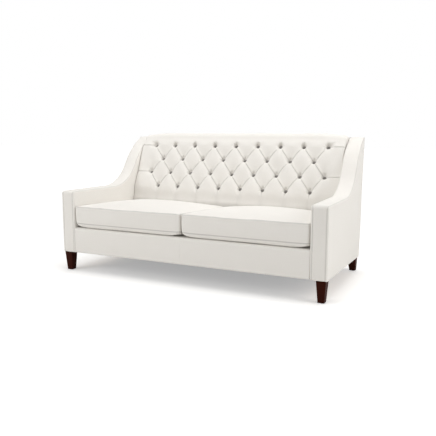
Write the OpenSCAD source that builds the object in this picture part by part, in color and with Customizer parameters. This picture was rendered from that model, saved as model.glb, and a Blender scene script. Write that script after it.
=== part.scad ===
// A two-seater sofa with a deep diamond-tufted back, swooped arms, two loose
// box cushions and four square tapered legs.
// Millimetres. Z is up, the sofa faces -Y, and the origin is on the floor,
// under the middle of the sofa.

/* [Overall] */
// Width across the fronts of the arms
overall_w = 1810; // [1700:1:1900]
// Depth from the arm fronts to the top of the back
overall_d = 910; // [890:1:940]
// Height to the crown of the back
overall_h = 912; // [900:1:925]
// How much each side stands in at the back, against the front
side_taper = 25; // [0:1:40]
// Thickness of the covering fabric with its lining
cover_t = 2; // [1.5:0.1:3]
// Gap between a loose or padded piece and its neighbour
soft_gap = 0.4; // [0.3:0.05:1]
// Gap between fitted faces of the frame, the foam and the covers
face_gap = 0.05; // [0.02:0.01:0.2]

/* [Legs] */
// Height of the underside of the body above the floor, at the front
base_z = 128; // [115:1:150]
// How much lower the underside is at the back, which pitches the body
base_drop = 32; // [0:1:40]
// Width of a leg at its top
leg_top_w = 56; // [50:1:60]
// Width of a leg at its foot
leg_foot_w = 38; // [32:1:44]
// Leg centre, in from the arm's outer face
leg_in_x = 36; // [34:1:50]
// Leg centre, in from the arm's front face or from the foot of the outside back
leg_in_y = 33; // [32:1:50]
// How far back a rear foot stands from its own top
rear_leg_rake = 26; // [0:1:40]
// Diameter of a glide
glide_d = 24; // [18:1:28]
// Thickness of a glide
glide_h = 3; // [2:0.5:6]
// Diameter of a leg bolt
leg_bolt_d = 8; // [6:0.5:10]
// Length of a leg bolt inside the leg
leg_bolt_down = 38; // [25:1:60]
// Clearance round a bolt in its hole
bolt_gap = 0.25; // [0.1:0.05:0.5]

/* [Arms] */
// Width of an arm
arm_w = 100; // [90:1:110]
// Height of an arm at its front
arm_h = 535; // [515:1:560]
// Run of the arm top's rise, from where it leaves the level to its rear end
arm_rise = 480; // [460:1:510]
// Radius where the arm top turns up
swoop_r = 290; // [260:1:310]
// Steepest slope of the arm top, in degrees
swoop_slope = 56; // [50:1:60]
// Radius where the arm top levels off at the back
crest_r = 460; // [400:1:520]
// Drop from the crown of the back to the arm's rear top corner
corner_drop = 26; // [15:1:35]
// Thickness of the foam over the arm top
arm_top_foam = 18; // [12:1:24]
// Thickness of the foam on the inner side of an arm
arm_side_foam = 15; // [10:1:18]
// Thickness of the foam behind an arm's front panel
arm_front_foam = 12; // [8:1:16]
// Thickness of the plywood side panel
arm_ply = 12; // [9:1:15]
// Thickness of the board on the inner side of an arm frame
arm_board = 4; // [3:0.5:6]
// Thickness of the bent slat under the arm top
arm_slat = 10; // [6:1:14]
// Thickness of the upright posts of an arm frame
arm_post = 32; // [25:1:40]
// Height of the rail along the bottom of an arm
arm_base_h = 24; // [18:1:30]

/* [Seat base] */
// Height from the underside of the body to the seat deck
base_h = 165; // [155:1:180]
// Thickness of the wooden seat rails
rail_t = 25; // [20:1:30]
// Thickness of the padded seat deck
deck_t = 20; // [15:1:25]
// Thickness of the foam on the front rail
rail_foam = 18; // [12:1:20]
// Radius of the front rail's padded top edge
rail_edge_r = 16; // [12:1:30]
// Height of the centre rail under the springs
centre_rail_h = 85; // [60:1:110]
// Leg of a triangular corner block
corner_block_w = 90; // [70:1:110]
// Height of a corner block
corner_block_h = 60; // [40:1:90]
// Thickness of the cloth under the base
dust_t = 1; // [0.8:0.1:1.5]
// Size of the arm bolts
arm_bolt_d = 8; // [6:0.5:10]
// Height of the arm bolts above the underside of the body
arm_bolt_z = 90; // [70:1:110]

/* [Springs] */
// Number of seat springs
spring_count = 8; // [6:2:10]
// Diameter of the spring wire
spring_wire = 3.8; // [3:0.1:4.5]
// Width of a spring, across its loops
spring_w = 52; // [44:1:60]
// Number of loops in a spring
spring_loops = 17; // [15:2:19]
// Thickness of a spring clip under the wire
clip_t = 1.2; // [1:0.1:2]
// Width of a spring clip
clip_w = 30; // [24:1:40]
// Length of a spring clip on its rail
clip_l = 16; // [14:1:20]

/* [Back] */
// Lean of the inside back from upright, in degrees
back_lean = 22.5; // [20:0.5:24]
// Radius of the roll along the top of the back
roll_r = 43.75; // [42:0.25:48]
// How far the foot of the outside back stands in from its top
rear_foot_in = 55; // [30:1:70]
// Thickness of the back foam
back_foam_t = 40; // [35:1:44]
// Depth of the fibre layer under the tufts, at a button
tuft_base = 4; // [3:0.5:6]
// Height of the padding over the top roll, above the buttons' plane
roll_puff = 22; // [18:1:26]
// Width of the rounded edge of the tufted back beside each arm
side_roll = 49; // [40:1:55]
// Thickness of the uprights of the back frame
back_post = 22; // [18:1:28]
// Height of the top rail of the back frame
top_rail_h = 40; // [30:1:42]
// Width of a webbing strap
strap_w = 50; // [40:1:60]
// Thickness of a webbing strap
strap_t = 1.5; // [1:0.1:2]

/* [Tufts] */
// Distance from the outermost buttons to the arms, at the rear
tuft_side = 113.2; // [109:0.1:140]
// Distance between rows of buttons, as a share of the lean's length
tuft_row_share = 0.2174; // [0.2:0.0001:0.2204]
// Number of rows of buttons
tuft_rows = 4; // [2:1:4]
// Number of buttons in the top row
tuft_across = 9; // [5:2:9]
// Drop from the crown of the back to the top row of buttons
tuft_drop = 100; // [92:1:108]
// Height of a full tuft over the buttons
tuft_puff = 30; // [22:1:34]
// Diameter of a covered button
button_d = 22; // [18:1:26]
// Height of a covered button
button_h = 6; // [4:0.5:8]
// Diameter of the twine behind a button
twine_d = 2.5; // [2:0.1:3]
// Diameter of the washer that the twine is tied to
washer_d = 20; // [16:1:26]
// Thickness of that washer
washer_t = 2; // [1.5:0.5:3]

/* [Cushions] */
// Height of a cushion at its front edge
cushion_h = 139; // [125:1:150]
// Rise of a cushion from its top seam to its middle
cushion_crown = 26; // [15:1:35]
// Room between the rear of a cushion's side and the buttons' plane
cushion_room = 25; // [22:1:40]
// Corner radius of a cushion in plan
cushion_r = 34; // [20:1:50]
// Height of the lower seam above the bottom of a cushion
cushion_low_seam = 28; // [20:1:36]
// How far a seam is drawn in from the bulge of the side
cushion_draw = 4; // [2:0.5:6]
// Gap between a cushion and the arm, and between the two cushions
cushion_gap = 2; // [1:0.5:6]
// Thickness of a cushion cover
cushion_cover_t = 2.5; // [2:0.1:4]
// Width of the zip tape on the back of a cushion
zip_w = 26; // [20:1:30]
// Thickness of the zip tape
zip_t = 1; // [0.8:0.1:1.5]
// Height of the zip teeth over the tape
zip_teeth_t = 1.8; // [1.5:0.1:2.5]
// Width of the zip teeth
zip_teeth_w = 5; // [4:0.5:7]
// Distance from each end of the zip to the side of the cushion
zip_margin = 70; // [50:1:120]
// Length of the zip slider
slider_l = 14; // [10:1:20]
// Thickness of the zip slider's walls
slider_wall = 1.2; // [1:0.1:2]
// Running clearance between the zip slider and the teeth
slider_gap = 0.3; // [0.2:0.05:0.5]

/* [Hidden] */

LEFT = -1;
RIGHT = 1;
FRONT = -1;
REAR = 1;
$fn = 32;

linen = [0.91, 0.89, 0.85];
foam_colour = [0.95, 0.90, 0.62];
timber = [0.80, 0.66, 0.46];
plywood = [0.86, 0.74, 0.54];
espresso = [0.17, 0.06, 0.03];
steel = [0.62, 0.63, 0.65];
dark_cloth = [0.15, 0.15, 0.16];
felt = [0.60, 0.58, 0.55];
strap_colour = [0.35, 0.33, 0.30];

half_w = overall_w / 2;
front_y = -overall_d / 2;
rear_y = overall_d / 2;
deck_z = base_z + base_h;
corner_z = overall_h - corner_drop;
cushion_top_z = deck_z + cushion_h;

// The inside back stands on the buttons' plane. The plane leans on the core of
// the top roll, and its foot is at the cushion tops
lean_in = [-cos(back_lean), sin(back_lean)];
lean_up = [sin(back_lean), cos(back_lean)];
roll_centre = [rear_y - roll_r, overall_h - roll_r];
core_r = roll_r - roll_puff;
lean_top = roll_centre + core_r * lean_in;
plane_foot_y = lean_top.x - (lean_top.y - cushion_top_z) * tan(back_lean);
plane_foot = [plane_foot_y, cushion_top_z];
foam_back = tuft_base + back_foam_t;
post_front_y = plane_foot_y + foam_back + strap_t + face_gap;

// Half width over the arms, and between the arms, at a depth
function outer_x(y) = half_w - side_taper * (y - front_y) / overall_d;
function inner_x(y) = outer_x(y) - arm_w;

// The underside is one plane that falls from the front to the back
foot_y = rear_y - rear_foot_in;
rear_base_z = base_z - base_drop;
function low_z(y) = base_z - base_drop * (y - front_y) / (foot_y - front_y);

// The outside back is one leaning plane
function rear_face_y(z) = rear_y - rear_foot_in * (corner_z - z) / (corner_z - rear_base_z);

// A smooth step from 0 to 1 as t goes from 0 to 1
function ease(t) = let (c = min(max(t, 0), 1)) c * c * (3 - 2 * c);
function blend(a, b, t) = a + (b - a) * t;

// Arm outline, seen from the side
curve_steps = 12;
level_end = rear_y - arm_rise;
swoop_centre = [level_end, arm_h + swoop_r];
swoop_end = swoop_centre + swoop_r * [sin(swoop_slope), -cos(swoop_slope)];
climb = [cos(swoop_slope), sin(swoop_slope)];
crest_in = crest_r * [sin(swoop_slope), -cos(swoop_slope)];
to_corner = [rear_y, corner_z] - swoop_end - crest_in;
climb_reach = to_corner * climb;
climb_l = climb_reach - sqrt(climb_reach ^ 2 - to_corner * to_corner + crest_r ^ 2);
crest_centre = swoop_end + climb * climb_l + crest_in;
crest_stop = 15;

// The arm top, moved in by a distance
function arm_top(inset) = concat(
    [for (i = [0 : curve_steps])
        let (a = swoop_slope * i / curve_steps)
            swoop_centre + (swoop_r + inset) * [sin(a), -cos(a)]],
    [for (i = [0 : curve_steps])
        let (a = swoop_slope - (swoop_slope - crest_stop) * i / curve_steps)
            crest_centre + (crest_r - inset) * [-sin(a), cos(a)]]);

// All that lies below a line at a height above the underside, from the side
module below(rise) {
    polygon([
        [front_y - 2, -1], [front_y - 2, low_z(front_y - 2) + rise],
        [rear_y + 2, low_z(rear_y + 2) + rise], [rear_y + 2, -1]]);
}

// The arm's outline, moved in at its top, front and rear. It stands on the
// underside's plane, on a height above it, or on the floor
module arm_outline(top, front, rear, low = 0, to_floor = false) {
    difference() {
        intersection() {
            polygon(concat(
                [[front_y - 1, low], [front_y - 1, arm_h - top]],
                arm_top(top),
                [[rear_y + arm_w, low]]));
            polygon([
                [front_y + front, 0], [front_y + front, overall_h],
                [rear_face_y(overall_h) - rear, overall_h], [rear_face_y(0) - rear, 0]]);
        }
        if (!to_floor)
            below(0);
    }
}

// An outline seen from the side, as thick as the room between two distances
// inside the outer face of an arm
module arm_layer(side, out_a, in_a) {
    mirror([side == RIGHT ? 1 : 0, 0, 0])
        intersection() {
            linear_extrude(overall_h + 1)
                polygon([
                    [-outer_x(front_y) + out_a, front_y], [-outer_x(front_y) + in_a, front_y],
                    [-outer_x(rear_y) + in_a, rear_y], [-outer_x(rear_y) + out_a, rear_y]]);
            translate([-half_w, 0, 0])
                rotate([90, 0, 90])
                    linear_extrude(half_w)
                        children();
        }
}

// Rectangle seen from the side, between two corners
module side_box(low, high) {
    polygon([low, [high.x, low.y], high, [low.x, high.y]]);
}

// Depths inside an arm, measured in from its outer face
ply_in = cover_t + arm_ply;
inner_cover_out = arm_w - cover_t;
board_in = inner_cover_out - arm_side_foam;
board_out = board_in - arm_board;
arm_core_top = cover_t + arm_top_foam;
arm_core_front = cover_t + arm_front_foam;
rear_in = cover_t + face_gap;

// Bolts between the arms and the seat base
bolt_rail_drop = 10;
bolt_rail_top = deck_z - deck_t - bolt_rail_drop;
side_rail_past = 100;
side_rail_rear = plane_foot_y + side_rail_past;
first_bolt_in = 110;
last_bolt_in = 60;
arm_bolt_ys = [
    front_y + first_bolt_in,
    (front_y + side_rail_rear) / 2,
    side_rail_rear - last_bolt_in];
arm_bolt_level = base_z + arm_bolt_z;
bolt_head_w = 13;
bolt_head_t = 5.5;
bolt_nut_t = 6.5;
// Room under a square bolt head on a tapered face
slope_room = bolt_head_w / 2 * side_taper / overall_d + face_gap;

// Legs
function leg_x(side) = side * (half_w - leg_in_x);
front_leg_y = front_y + leg_in_y;
rear_leg_y = foot_y - leg_in_y;
rear_foot_y = rear_leg_y + rear_leg_rake;
function rear_leg_x(side) = side * (outer_x(rear_leg_y) - leg_in_x);
leg_places = [
    [leg_x(LEFT), front_leg_y], [leg_x(RIGHT), front_leg_y],
    [rear_leg_x(LEFT), rear_leg_y], [rear_leg_x(RIGHT), rear_leg_y]];
leg_feet = [
    [leg_x(LEFT), front_leg_y], [leg_x(RIGHT), front_leg_y],
    [rear_leg_x(LEFT), rear_foot_y], [rear_leg_x(RIGHT), rear_foot_y]];
leg_block_h = 40;
leg_block_l = 66;
function block_top(leg_y) = low_z(leg_y) + arm_base_h + leg_block_h;
leg_bolt_past = 6;
leg_bolt_len = leg_bolt_down + arm_base_h + leg_block_h + leg_bolt_past;
nut_wall = 2;
nut_barrel_d = leg_bolt_d + 2 * nut_wall;
nut_flange_d = 22;
nut_flange_t = 2;
nut_barrel_l = 12;
nut_room = 1;

// A leg's outline, with its foot set back by the rake. Its top follows the
// underside in the side view, and is level in the front view
module leg_profile(rake, high_front, high_rear) {
    polygon([
        [rake - leg_foot_w / 2, 0], [rake + leg_foot_w / 2, 0],
        [leg_top_w / 2, high_rear], [-leg_top_w / 2, high_front]]);
}

module leg(place, rake) {
    front = low_z(place.y - leg_top_w / 2) - glide_h;
    rear = low_z(place.y + leg_top_w / 2) - glide_h;
    color(espresso)
        translate([place.x, place.y, glide_h])
            difference() {
                intersection() {
                    translate([0, overall_d, 0])
                        rotate([90, 0, 0])
                            linear_extrude(2 * overall_d)
                                leg_profile(0, front, front);
                    translate([-leg_top_w, 0, 0])
                        rotate([90, 0, 90])
                            linear_extrude(2 * leg_top_w)
                                leg_profile(rake, front, rear);
                }
                translate([0, 0, low_z(place.y) - glide_h - leg_bolt_down - 1])
                    cylinder(d = leg_bolt_d + 2 * bolt_gap, h = leg_bolt_down + base_drop + 2);
            }
}

module front_left_leg() {
    leg(leg_places[0], 0);
}

module front_right_leg() {
    leg(leg_places[1], 0);
}

module rear_left_leg() {
    leg(leg_places[2], rear_leg_rake);
}

module rear_right_leg() {
    leg(leg_places[3], rear_leg_rake);
}

// Nailed nylon glides, one under each foot
module glides() {
    color(dark_cloth)
        for (foot = leg_feet)
            translate([foot.x, foot.y, 0])
                cylinder(d = glide_d, h = glide_h);
}

// Hanger bolts that hold the legs
module leg_bolts() {
    color(steel)
        for (place = leg_places)
            translate([place.x, place.y, low_z(place.y) - leg_bolt_down])
                cylinder(d = leg_bolt_d, h = leg_bolt_len);
}

// Tee nuts on top of the leg blocks
module leg_nuts() {
    color(steel)
        for (place = leg_places)
            translate([place.x, place.y, block_top(place.y)])
                difference() {
                    union() {
                        cylinder(d = nut_flange_d, h = nut_flange_t);
                        translate([0, 0, -nut_barrel_l])
                            cylinder(d = nut_barrel_d, h = nut_barrel_l + 1);
                    }
                    translate([0, 0, -nut_barrel_l - 1])
                        cylinder(d = leg_bolt_d + bolt_gap, h = nut_barrel_l + nut_flange_t + 2);
                }
}

// Bores up through the base rail and block of every leg
module leg_bores() {
    for (place = leg_places)
        translate([place.x, place.y, block_top(place.y)]) {
            translate([0, 0, -leg_block_h - arm_base_h - base_drop])
                cylinder(
                    d = leg_bolt_d + 2 * bolt_gap,
                    h = leg_block_h + arm_base_h + base_drop + 1);
            translate([0, 0, -nut_barrel_l - bolt_gap])
                cylinder(d = nut_barrel_d + 2 * bolt_gap, h = nut_barrel_l + 2);
        }
}

// Hardwood blocks over the legs, inside the arms
module leg_blocks() {
    front = front_y + arm_core_front;
    rear = rear_leg_y - leg_block_l / 2;
    color(timber)
        difference() {
            for (side = [LEFT, RIGHT])
                for (run = [
                    [front, front + leg_block_l, block_top(front_leg_y)],
                    [rear, rear_y, block_top(rear_leg_y)]])
                    arm_layer(side, ply_in, board_out)
                        difference() {
                            intersection() {
                                arm_outline(arm_core_top, arm_core_front, rear_in);
                                side_box([run[0], 0], [run[1], run[2]]);
                            }
                            below(arm_base_h);
                        }
            leg_bores();
        }
}

// Rails along the bottom of the arms
module arm_base_rails() {
    color(timber)
        difference() {
            for (side = [LEFT, RIGHT])
                arm_layer(side, ply_in, board_out)
                    intersection() {
                        arm_outline(arm_core_top, arm_core_front, rear_in);
                        below(arm_base_h);
                    }
            leg_bores();
        }
}

// Upright posts at the fronts of the arms
module arm_front_posts() {
    low = [front_y + arm_core_front, block_top(front_leg_y)];
    color(timber)
        difference() {
            for (side = [LEFT, RIGHT])
                arm_layer(side, ply_in, board_out)
                    side_box(low, [low.x + arm_post, arm_h - arm_core_top]);
            nut_recesses();
        }
}

// Room for the tee nuts and bolt ends in what stands on a leg block
module nut_recesses() {
    for (place = leg_places)
        translate([place.x, place.y, block_top(place.y) - 1])
            cylinder(d = nut_flange_d + 2 * nut_room, h = leg_bolt_past + nut_room + 1);
}

// Upright posts at the backs of the arms
module arm_rear_posts() {
    color(timber)
        difference() {
            for (side = [LEFT, RIGHT])
                arm_layer(side, ply_in, board_out)
                    intersection() {
                        arm_outline(
                            arm_core_top + arm_slat, arm_core_front, rear_in,
                            block_top(rear_leg_y));
                        polygon([
                            [rear_face_y(0) - rear_in - arm_post, 0],
                            [rear_y, 0],
                            [rear_y, overall_h],
                            [rear_face_y(overall_h) - rear_in - arm_post, overall_h]]);
                    }
            nut_recesses();
        }
}

// Bent slats that carry the padding of the arm tops
module arm_top_slats() {
    color(plywood)
        for (side = [LEFT, RIGHT])
            arm_layer(side, ply_in, board_out)
                difference() {
                    arm_outline(arm_core_top, arm_core_front + arm_post, rear_in);
                    arm_outline(arm_core_top + arm_slat, 0, -1, 0, true);
                }
}

// Thin boards that back the foam on the inner sides of the arms
module arm_inner_boards() {
    color(plywood)
        for (side = [LEFT, RIGHT])
            arm_layer(side, board_out, board_in)
                arm_outline(arm_core_top, arm_core_front, rear_in, bolt_rail_top);
}

// Rails low on the inner side of each arm, which the seat base is bolted to
module arm_bolt_rails() {
    color(timber)
        difference() {
            for (side = [LEFT, RIGHT])
                arm_layer(side, board_out, inner_cover_out)
                    difference() {
                        side_box(
                            [front_y + arm_core_front, 0],
                            [side_rail_rear, bolt_rail_top]);
                        below(0);
                    }
            arm_bolt_holes();
        }
}

// Place children on each arm bolt's line, at the arm's inner face, looking in
module at_arm_bolts() {
    for (side = [LEFT, RIGHT])
        for (y = arm_bolt_ys)
            translate([side * inner_x(y), y, arm_bolt_level])
                rotate([0, -side * 90, 0])
                    children();
}

module arm_bolt_holes() {
    at_arm_bolts()
        translate([0, 0, -arm_w / 2])
            cylinder(d = arm_bolt_d + 2 * bolt_gap, h = arm_w);
}

// Bolts and nuts that hold the arms to the seat base
module arm_bolts() {
    nut_z = -(arm_w - board_out) - bolt_nut_t - slope_room;
    head_z = rail_t + slope_room;
    color(steel)
        at_arm_bolts() {
            translate([0, 0, nut_z])
                cylinder(d = arm_bolt_d, h = head_z - nut_z);
            translate([0, 0, head_z])
                cylinder(d = bolt_head_w, h = bolt_head_t, $fn = 6);
            translate([0, 0, nut_z])
                cylinder(d = bolt_head_w, h = bolt_nut_t, $fn = 6);
        }
}

module arm_side_panel(side) {
    color(plywood)
        arm_layer(side, cover_t, ply_in)
            arm_outline(arm_core_top, arm_core_front, rear_in);
}

module left_arm_side_panel() {
    arm_side_panel(LEFT);
}

module right_arm_side_panel() {
    arm_side_panel(RIGHT);
}

// Foam over the front, top and inner side of an arm
module arm_foam(side) {
    color(foam_colour)
        difference() {
            arm_layer(side, cover_t, inner_cover_out)
                arm_outline(cover_t, cover_t, rear_in);
            arm_layer(side, 0, board_in)
                arm_outline(arm_core_top, arm_core_front, 0, 0, true);
            arm_layer(side, board_out, arm_w)
                side_box([front_y + arm_core_front, 0], [rear_y, bolt_rail_top]);
        }
}

module left_arm_foam() {
    arm_foam(LEFT);
}

module right_arm_foam() {
    arm_foam(RIGHT);
}

// Fabric on the outer side of an arm
module arm_outer_cover(side) {
    color(linen)
        arm_layer(side, 0, cover_t)
            arm_outline(cover_t, cover_t, rear_in);
}

module left_arm_outer_cover() {
    arm_outer_cover(LEFT);
}

module right_arm_outer_cover() {
    arm_outer_cover(RIGHT);
}

// Fabric on the inner side of an arm, pulled down beside the seat
module arm_inner_cover(side) {
    color(linen)
        difference() {
            arm_layer(side, inner_cover_out, arm_w)
                arm_outline(cover_t, cover_t, rear_in);
            arm_bolt_holes();
        }
}

module left_arm_inner_cover() {
    arm_inner_cover(LEFT);
}

module right_arm_inner_cover() {
    arm_inner_cover(RIGHT);
}

// Band of fabric along the top of an arm, from its front to the back's corner
module arm_top_band(side) {
    color(linen)
        arm_layer(side, 0, arm_w)
            difference() {
                arm_outline(0, 0, rear_in);
                arm_outline(cover_t, -1, -1, 0, true);
            }
}

module left_arm_top_band() {
    arm_top_band(LEFT);
}

module right_arm_top_band() {
    arm_top_band(RIGHT);
}

// Panel of fabric on the front of an arm
module arm_front_panel(side) {
    color(linen)
        arm_layer(side, 0, arm_w)
            side_box([front_y, base_z], [front_y + cover_t, arm_h - cover_t]);
}

module left_arm_front_panel() {
    arm_front_panel(LEFT);
}

module right_arm_front_panel() {
    arm_front_panel(RIGHT);
}

// Seat base, between the arms
rail_low = base_z + cover_t;
rail_top = deck_z - deck_t - spring_wire - 2 * clip_t;
rail_front_y = front_y + cover_t + rail_foam;
rail_back_y = rail_front_y + rail_t;
rear_rail_past = 33;
rear_rail_back_y = plane_foot_y + rear_rail_past;
rear_rail_y = rear_rail_back_y - rail_t;

// A block between the arms, from one depth to another, drawn in at its ends
module between_arms(y0, y1, z0, z1, in = 0) {
    translate([0, 0, z0])
        linear_extrude(z1 - z0)
            polygon([
                [-inner_x(y0) + in, y0], [inner_x(y0) - in, y0],
                [inner_x(y1) - in, y1], [-inner_x(y1) + in, y1]]);
}

// Cut away what lies below the dust cloth
module above_dust_cloth() {
    difference() {
        children();
        across(-half_w, half_w)
            below(cover_t);
    }
}

module front_rail() {
    color(timber)
        between_arms(rail_front_y, rail_back_y, rail_low, rail_top, face_gap);
}

module rear_rail() {
    color(timber)
        above_dust_cloth()
            between_arms(rear_rail_y, rear_rail_back_y, 0, rail_top, rail_t + face_gap);
}

// Rails along the arms
module side_rails() {
    color(timber)
        above_dust_cloth()
            difference() {
                between_arms(rail_back_y, side_rail_rear, 0, rail_top, face_gap);
                between_arms(rail_back_y - 1, side_rail_rear + 1, -1, deck_z, rail_t);
                arm_bolt_holes();
            }
}

// Rail from the front to the rear, under the middle springs
module centre_rail() {
    color(timber)
        above_dust_cloth()
            translate([-rail_t / 2, rail_back_y, 0])
                cube([rail_t, rear_rail_y - rail_back_y, rail_low + centre_rail_h]);
}

// Glued triangular blocks in the corners of the seat base
function block_x(y) = inner_x(y) - rail_t - face_gap;
module corner_blocks() {
    color(timber)
        for (side = [LEFT, RIGHT])
            for (run = [[rail_back_y, 1], [rear_rail_y, -1]])
                let (y0 = run[0], y1 = run[0] + run[1] * corner_block_w)
                    translate([0, 0, low_z(min(y0, y1)) + cover_t])
                        linear_extrude(corner_block_h)
                            polygon([
                                [side * block_x(y0), y0], [side * block_x(y1), y1],
                                [side * (block_x(y0) - corner_block_w), y0]]);
}

// Springs
spring_room = 2 * (inner_x(rear_rail_y) - rail_t);
spring_step = spring_room / spring_count;
spring_xs = [for (i = [0 : spring_count - 1]) (i - (spring_count - 1) / 2) * spring_step];
spring_front_y = rail_front_y + rail_t / 2;
spring_rear_y = rear_rail_back_y - rail_t / 2;
spring_run = spring_rear_y - spring_front_y;
spring_pitch = spring_run / spring_loops;
spring_bend = spring_pitch / 2;
spring_straight = spring_w - spring_wire - 2 * spring_bend;
spring_z = rail_top + clip_t + spring_wire / 2;
// The bars run a little way into the bends, and are a hair thinner than them
bar_lap = 0.5;
bar_w = spring_wire - 0.04;

// Outline of one zigzag spring along Y: level bars joined by half-round
// bends, with a longer bar at each end for its clip
module zigzag() {
    for (i = [0 : spring_loops])
        let (last = i == 0 || i == spring_loops,
            bar = last ? clip_w + bar_lap : spring_straight + 2 * bar_lap)
                translate([spring_straight / 2 + bar_lap - bar, i * spring_pitch - bar_w / 2])
                    square([bar, bar_w]);
    for (i = [0 : spring_loops - 1])
        let (turn = i % 2 == 0 ? 0 : 1)
            translate([0, (i + 0.5) * spring_pitch])
                mirror([turn, 0])
                    translate([spring_straight / 2, 0])
                        difference() {
                            circle(r = spring_bend + spring_wire / 2);
                            circle(r = spring_bend - spring_wire / 2);
                            translate([-spring_w, -spring_w / 2])
                                square(spring_w);
                        }
}

// Zigzag springs under the seat deck
module seat_springs() {
    color(steel)
        for (x = spring_xs)
            translate([x, spring_front_y, spring_z - spring_wire / 2])
                linear_extrude(spring_wire)
                    zigzag();
}

// Clips that hook the spring ends to the rails
module spring_clips() {
    half = clip_l / 2;
    wire = spring_wire / 2 + bolt_gap;
    color(steel)
        for (x = spring_xs)
            for (end = [[spring_front_y, FRONT], [spring_rear_y, REAR]])
                translate([x + spring_straight / 2 - clip_w, end[0] - clip_l / 2, rail_top])
                    difference() {
                        cube([clip_w, clip_l, 2 * clip_t + spring_wire]);
                        translate([-1, end[1] == REAR ? -1 : half - wire, clip_t])
                            cube([clip_w + 2, half + wire + 1, spring_wire]);
                        translate([-1, end[1] == REAR ? -1 : half + wire, clip_t])
                            cube([clip_w + 2, half - wire + 1, spring_wire + 2 * clip_t]);
                    }
}

// Felt and decking cloth over the springs
deck_front_y = front_y + rail_edge_r;
deck_rear_y = post_front_y - face_gap;
module seat_deck() {
    color(felt)
        between_arms(deck_front_y, deck_rear_y, deck_z - deck_t, deck_z, soft_gap);
}

// Thin dark cloth under the base
module dust_cover() {
    color(dark_cloth)
        intersection() {
            between_arms(
                front_y + cover_t, foot_y - cover_t - bottom_rail_gap,
                0, base_z + cover_t, soft_gap);
            across(-half_w, half_w)
                difference() {
                    below(cover_t);
                    below(cover_t - dust_t);
                }
        }
}

// Side view of the padded front rail, moved in by a distance
module rail_pad_outline(inset) {
    corner = [front_y + rail_edge_r, deck_z - rail_edge_r];
    union() {
        translate(corner)
            circle(r = rail_edge_r - inset);
        side_box([front_y + inset, base_z], [corner.x, corner.y]);
        side_box([corner.x - 1, base_z], [corner.x, deck_z - inset]);
    }
}

// The right half of that outline only, cut at the deck's front edge
module rail_pad_front(inset) {
    intersection() {
        rail_pad_outline(inset);
        side_box([front_y - 1, base_z], [deck_front_y, deck_z + 1]);
    }
}

// Keep what lies between the arms
module fit_between_arms(in) {
    intersection() {
        translate([-half_w, 0, 0])
            rotate([90, 0, 90])
                linear_extrude(overall_w)
                    children();
        between_arms(front_y - 1, rail_back_y + rail_edge_r, 0, overall_h, in);
    }
}

// Foam on the front rail
module front_rail_foam() {
    color(foam_colour)
        fit_between_arms(soft_gap)
            difference() {
                rail_pad_front(cover_t);
                side_box([rail_front_y - face_gap, 0], [rail_back_y + rail_edge_r, deck_z - deck_t]);
                side_box([front_y - 1, 0], [rail_back_y, rail_low]);
            }
}

// Fabric on the front rail
module front_rail_cover() {
    color(linen)
        fit_between_arms(soft_gap)
            difference() {
                rail_pad_front(0);
                difference() {
                    rail_pad_outline(cover_t);
                    side_box([deck_front_y + 1, 0], [rear_y, overall_h]);
                }
            }
}

// Directions round the top roll, from its rear over its crown to the lean
roll_angles = [0, 45, 90, 135 - back_lean / 2, 180 - back_lean];

// The plane of the buttons rises straight behind the cushions, then leans.
// Turning points of a line at a depth behind it
function foot_turn(depth) = plane_foot + depth * [1, -tan(back_lean / 2)];
function lean_point(depth, z) =
    let (turn = foot_turn(depth))
        turn + lean_up * (z - turn.y) / cos(back_lean);

top_rail_drop = 20;
top_rail_top = roll_centre.y - top_rail_drop;
top_rail_low = top_rail_top - top_rail_h;

// Outline of the frame's uprights between the webbing and the outside back
module post_outline(z0, z1) {
    depth = foam_back + strap_t + face_gap;
    difference() {
        polygon(concat(
            z0 < foot_turn(depth).y
                ? [[post_front_y, z0], foot_turn(depth)]
                : [lean_point(depth, z0)],
            [lean_point(depth, z1),
            [rear_face_y(z1) - rear_in, z1],
            [rear_face_y(z0) - rear_in, z0]]));
        below(cover_t);
    }
}

// Outline extruded across the sofa, between the arms, from x0 to x1
module across(x0, x1) {
    translate([x0, 0, 0])
        rotate([90, 0, 90])
            linear_extrude(x1 - x0)
                children();
}

// Uprights at the sides of the back
post_side_gap = 8;
post_out_x = inner_x(rear_y) - rail_t - post_side_gap;
module back_posts() {
    color(plywood)
        for (side = [LEFT, RIGHT])
            difference() {
                across(
                    side == RIGHT ? post_out_x - back_post : -post_out_x,
                    side == RIGHT ? post_out_x : back_post - post_out_x)
                    post_outline(0, top_rail_low);
                lower_rail_slots();
            }
}

// Uprights inside the back, clear of the buttons' washers
middle_post_steps = 1.25;
module back_middle_posts() {
    color(plywood)
        for (side = [LEFT, RIGHT])
            difference() {
                translate([side * middle_post_steps * tuft_pitch, 0, 0])
                    across(-back_post / 2, back_post / 2)
                        post_outline(0, top_rail_low);
                lower_rail_slots();
            }
}

// Top rail, bevelled along both faces
module back_top_rail() {
    color(timber)
        across(-post_out_x, post_out_x)
            post_outline(top_rail_low, top_rail_top);
}

tack_rail_h = 50;
tack_rail_rise = 12;
tack_rail_z = deck_z + tack_rail_rise;
bottom_rail_gap = 1;
bottom_rail_z = low_z(foot_y - 2 * rail_t) + cover_t;

// Outlines of the two lower rails of the back frame
module tack_rail_outline() {
    side_box(
        [post_front_y, tack_rail_z],
        [post_front_y + rail_t, tack_rail_z + tack_rail_h]);
}

module bottom_rail_outline() {
    y1 = rear_face_y(bottom_rail_z) - cover_t - bottom_rail_gap;
    side_box([y1 - rail_t, bottom_rail_z], [y1, bottom_rail_z + tack_rail_h]);
}

module lower_rail_slots() {
    across(-half_w, half_w)
        tack_rail_outline();
    across(-half_w, half_w)
        bottom_rail_outline();
}

// Rail at the bottom of the padding, let into the uprights
module back_tack_rail() {
    color(timber)
        across(-post_out_x, post_out_x)
            tack_rail_outline();
}

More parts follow.
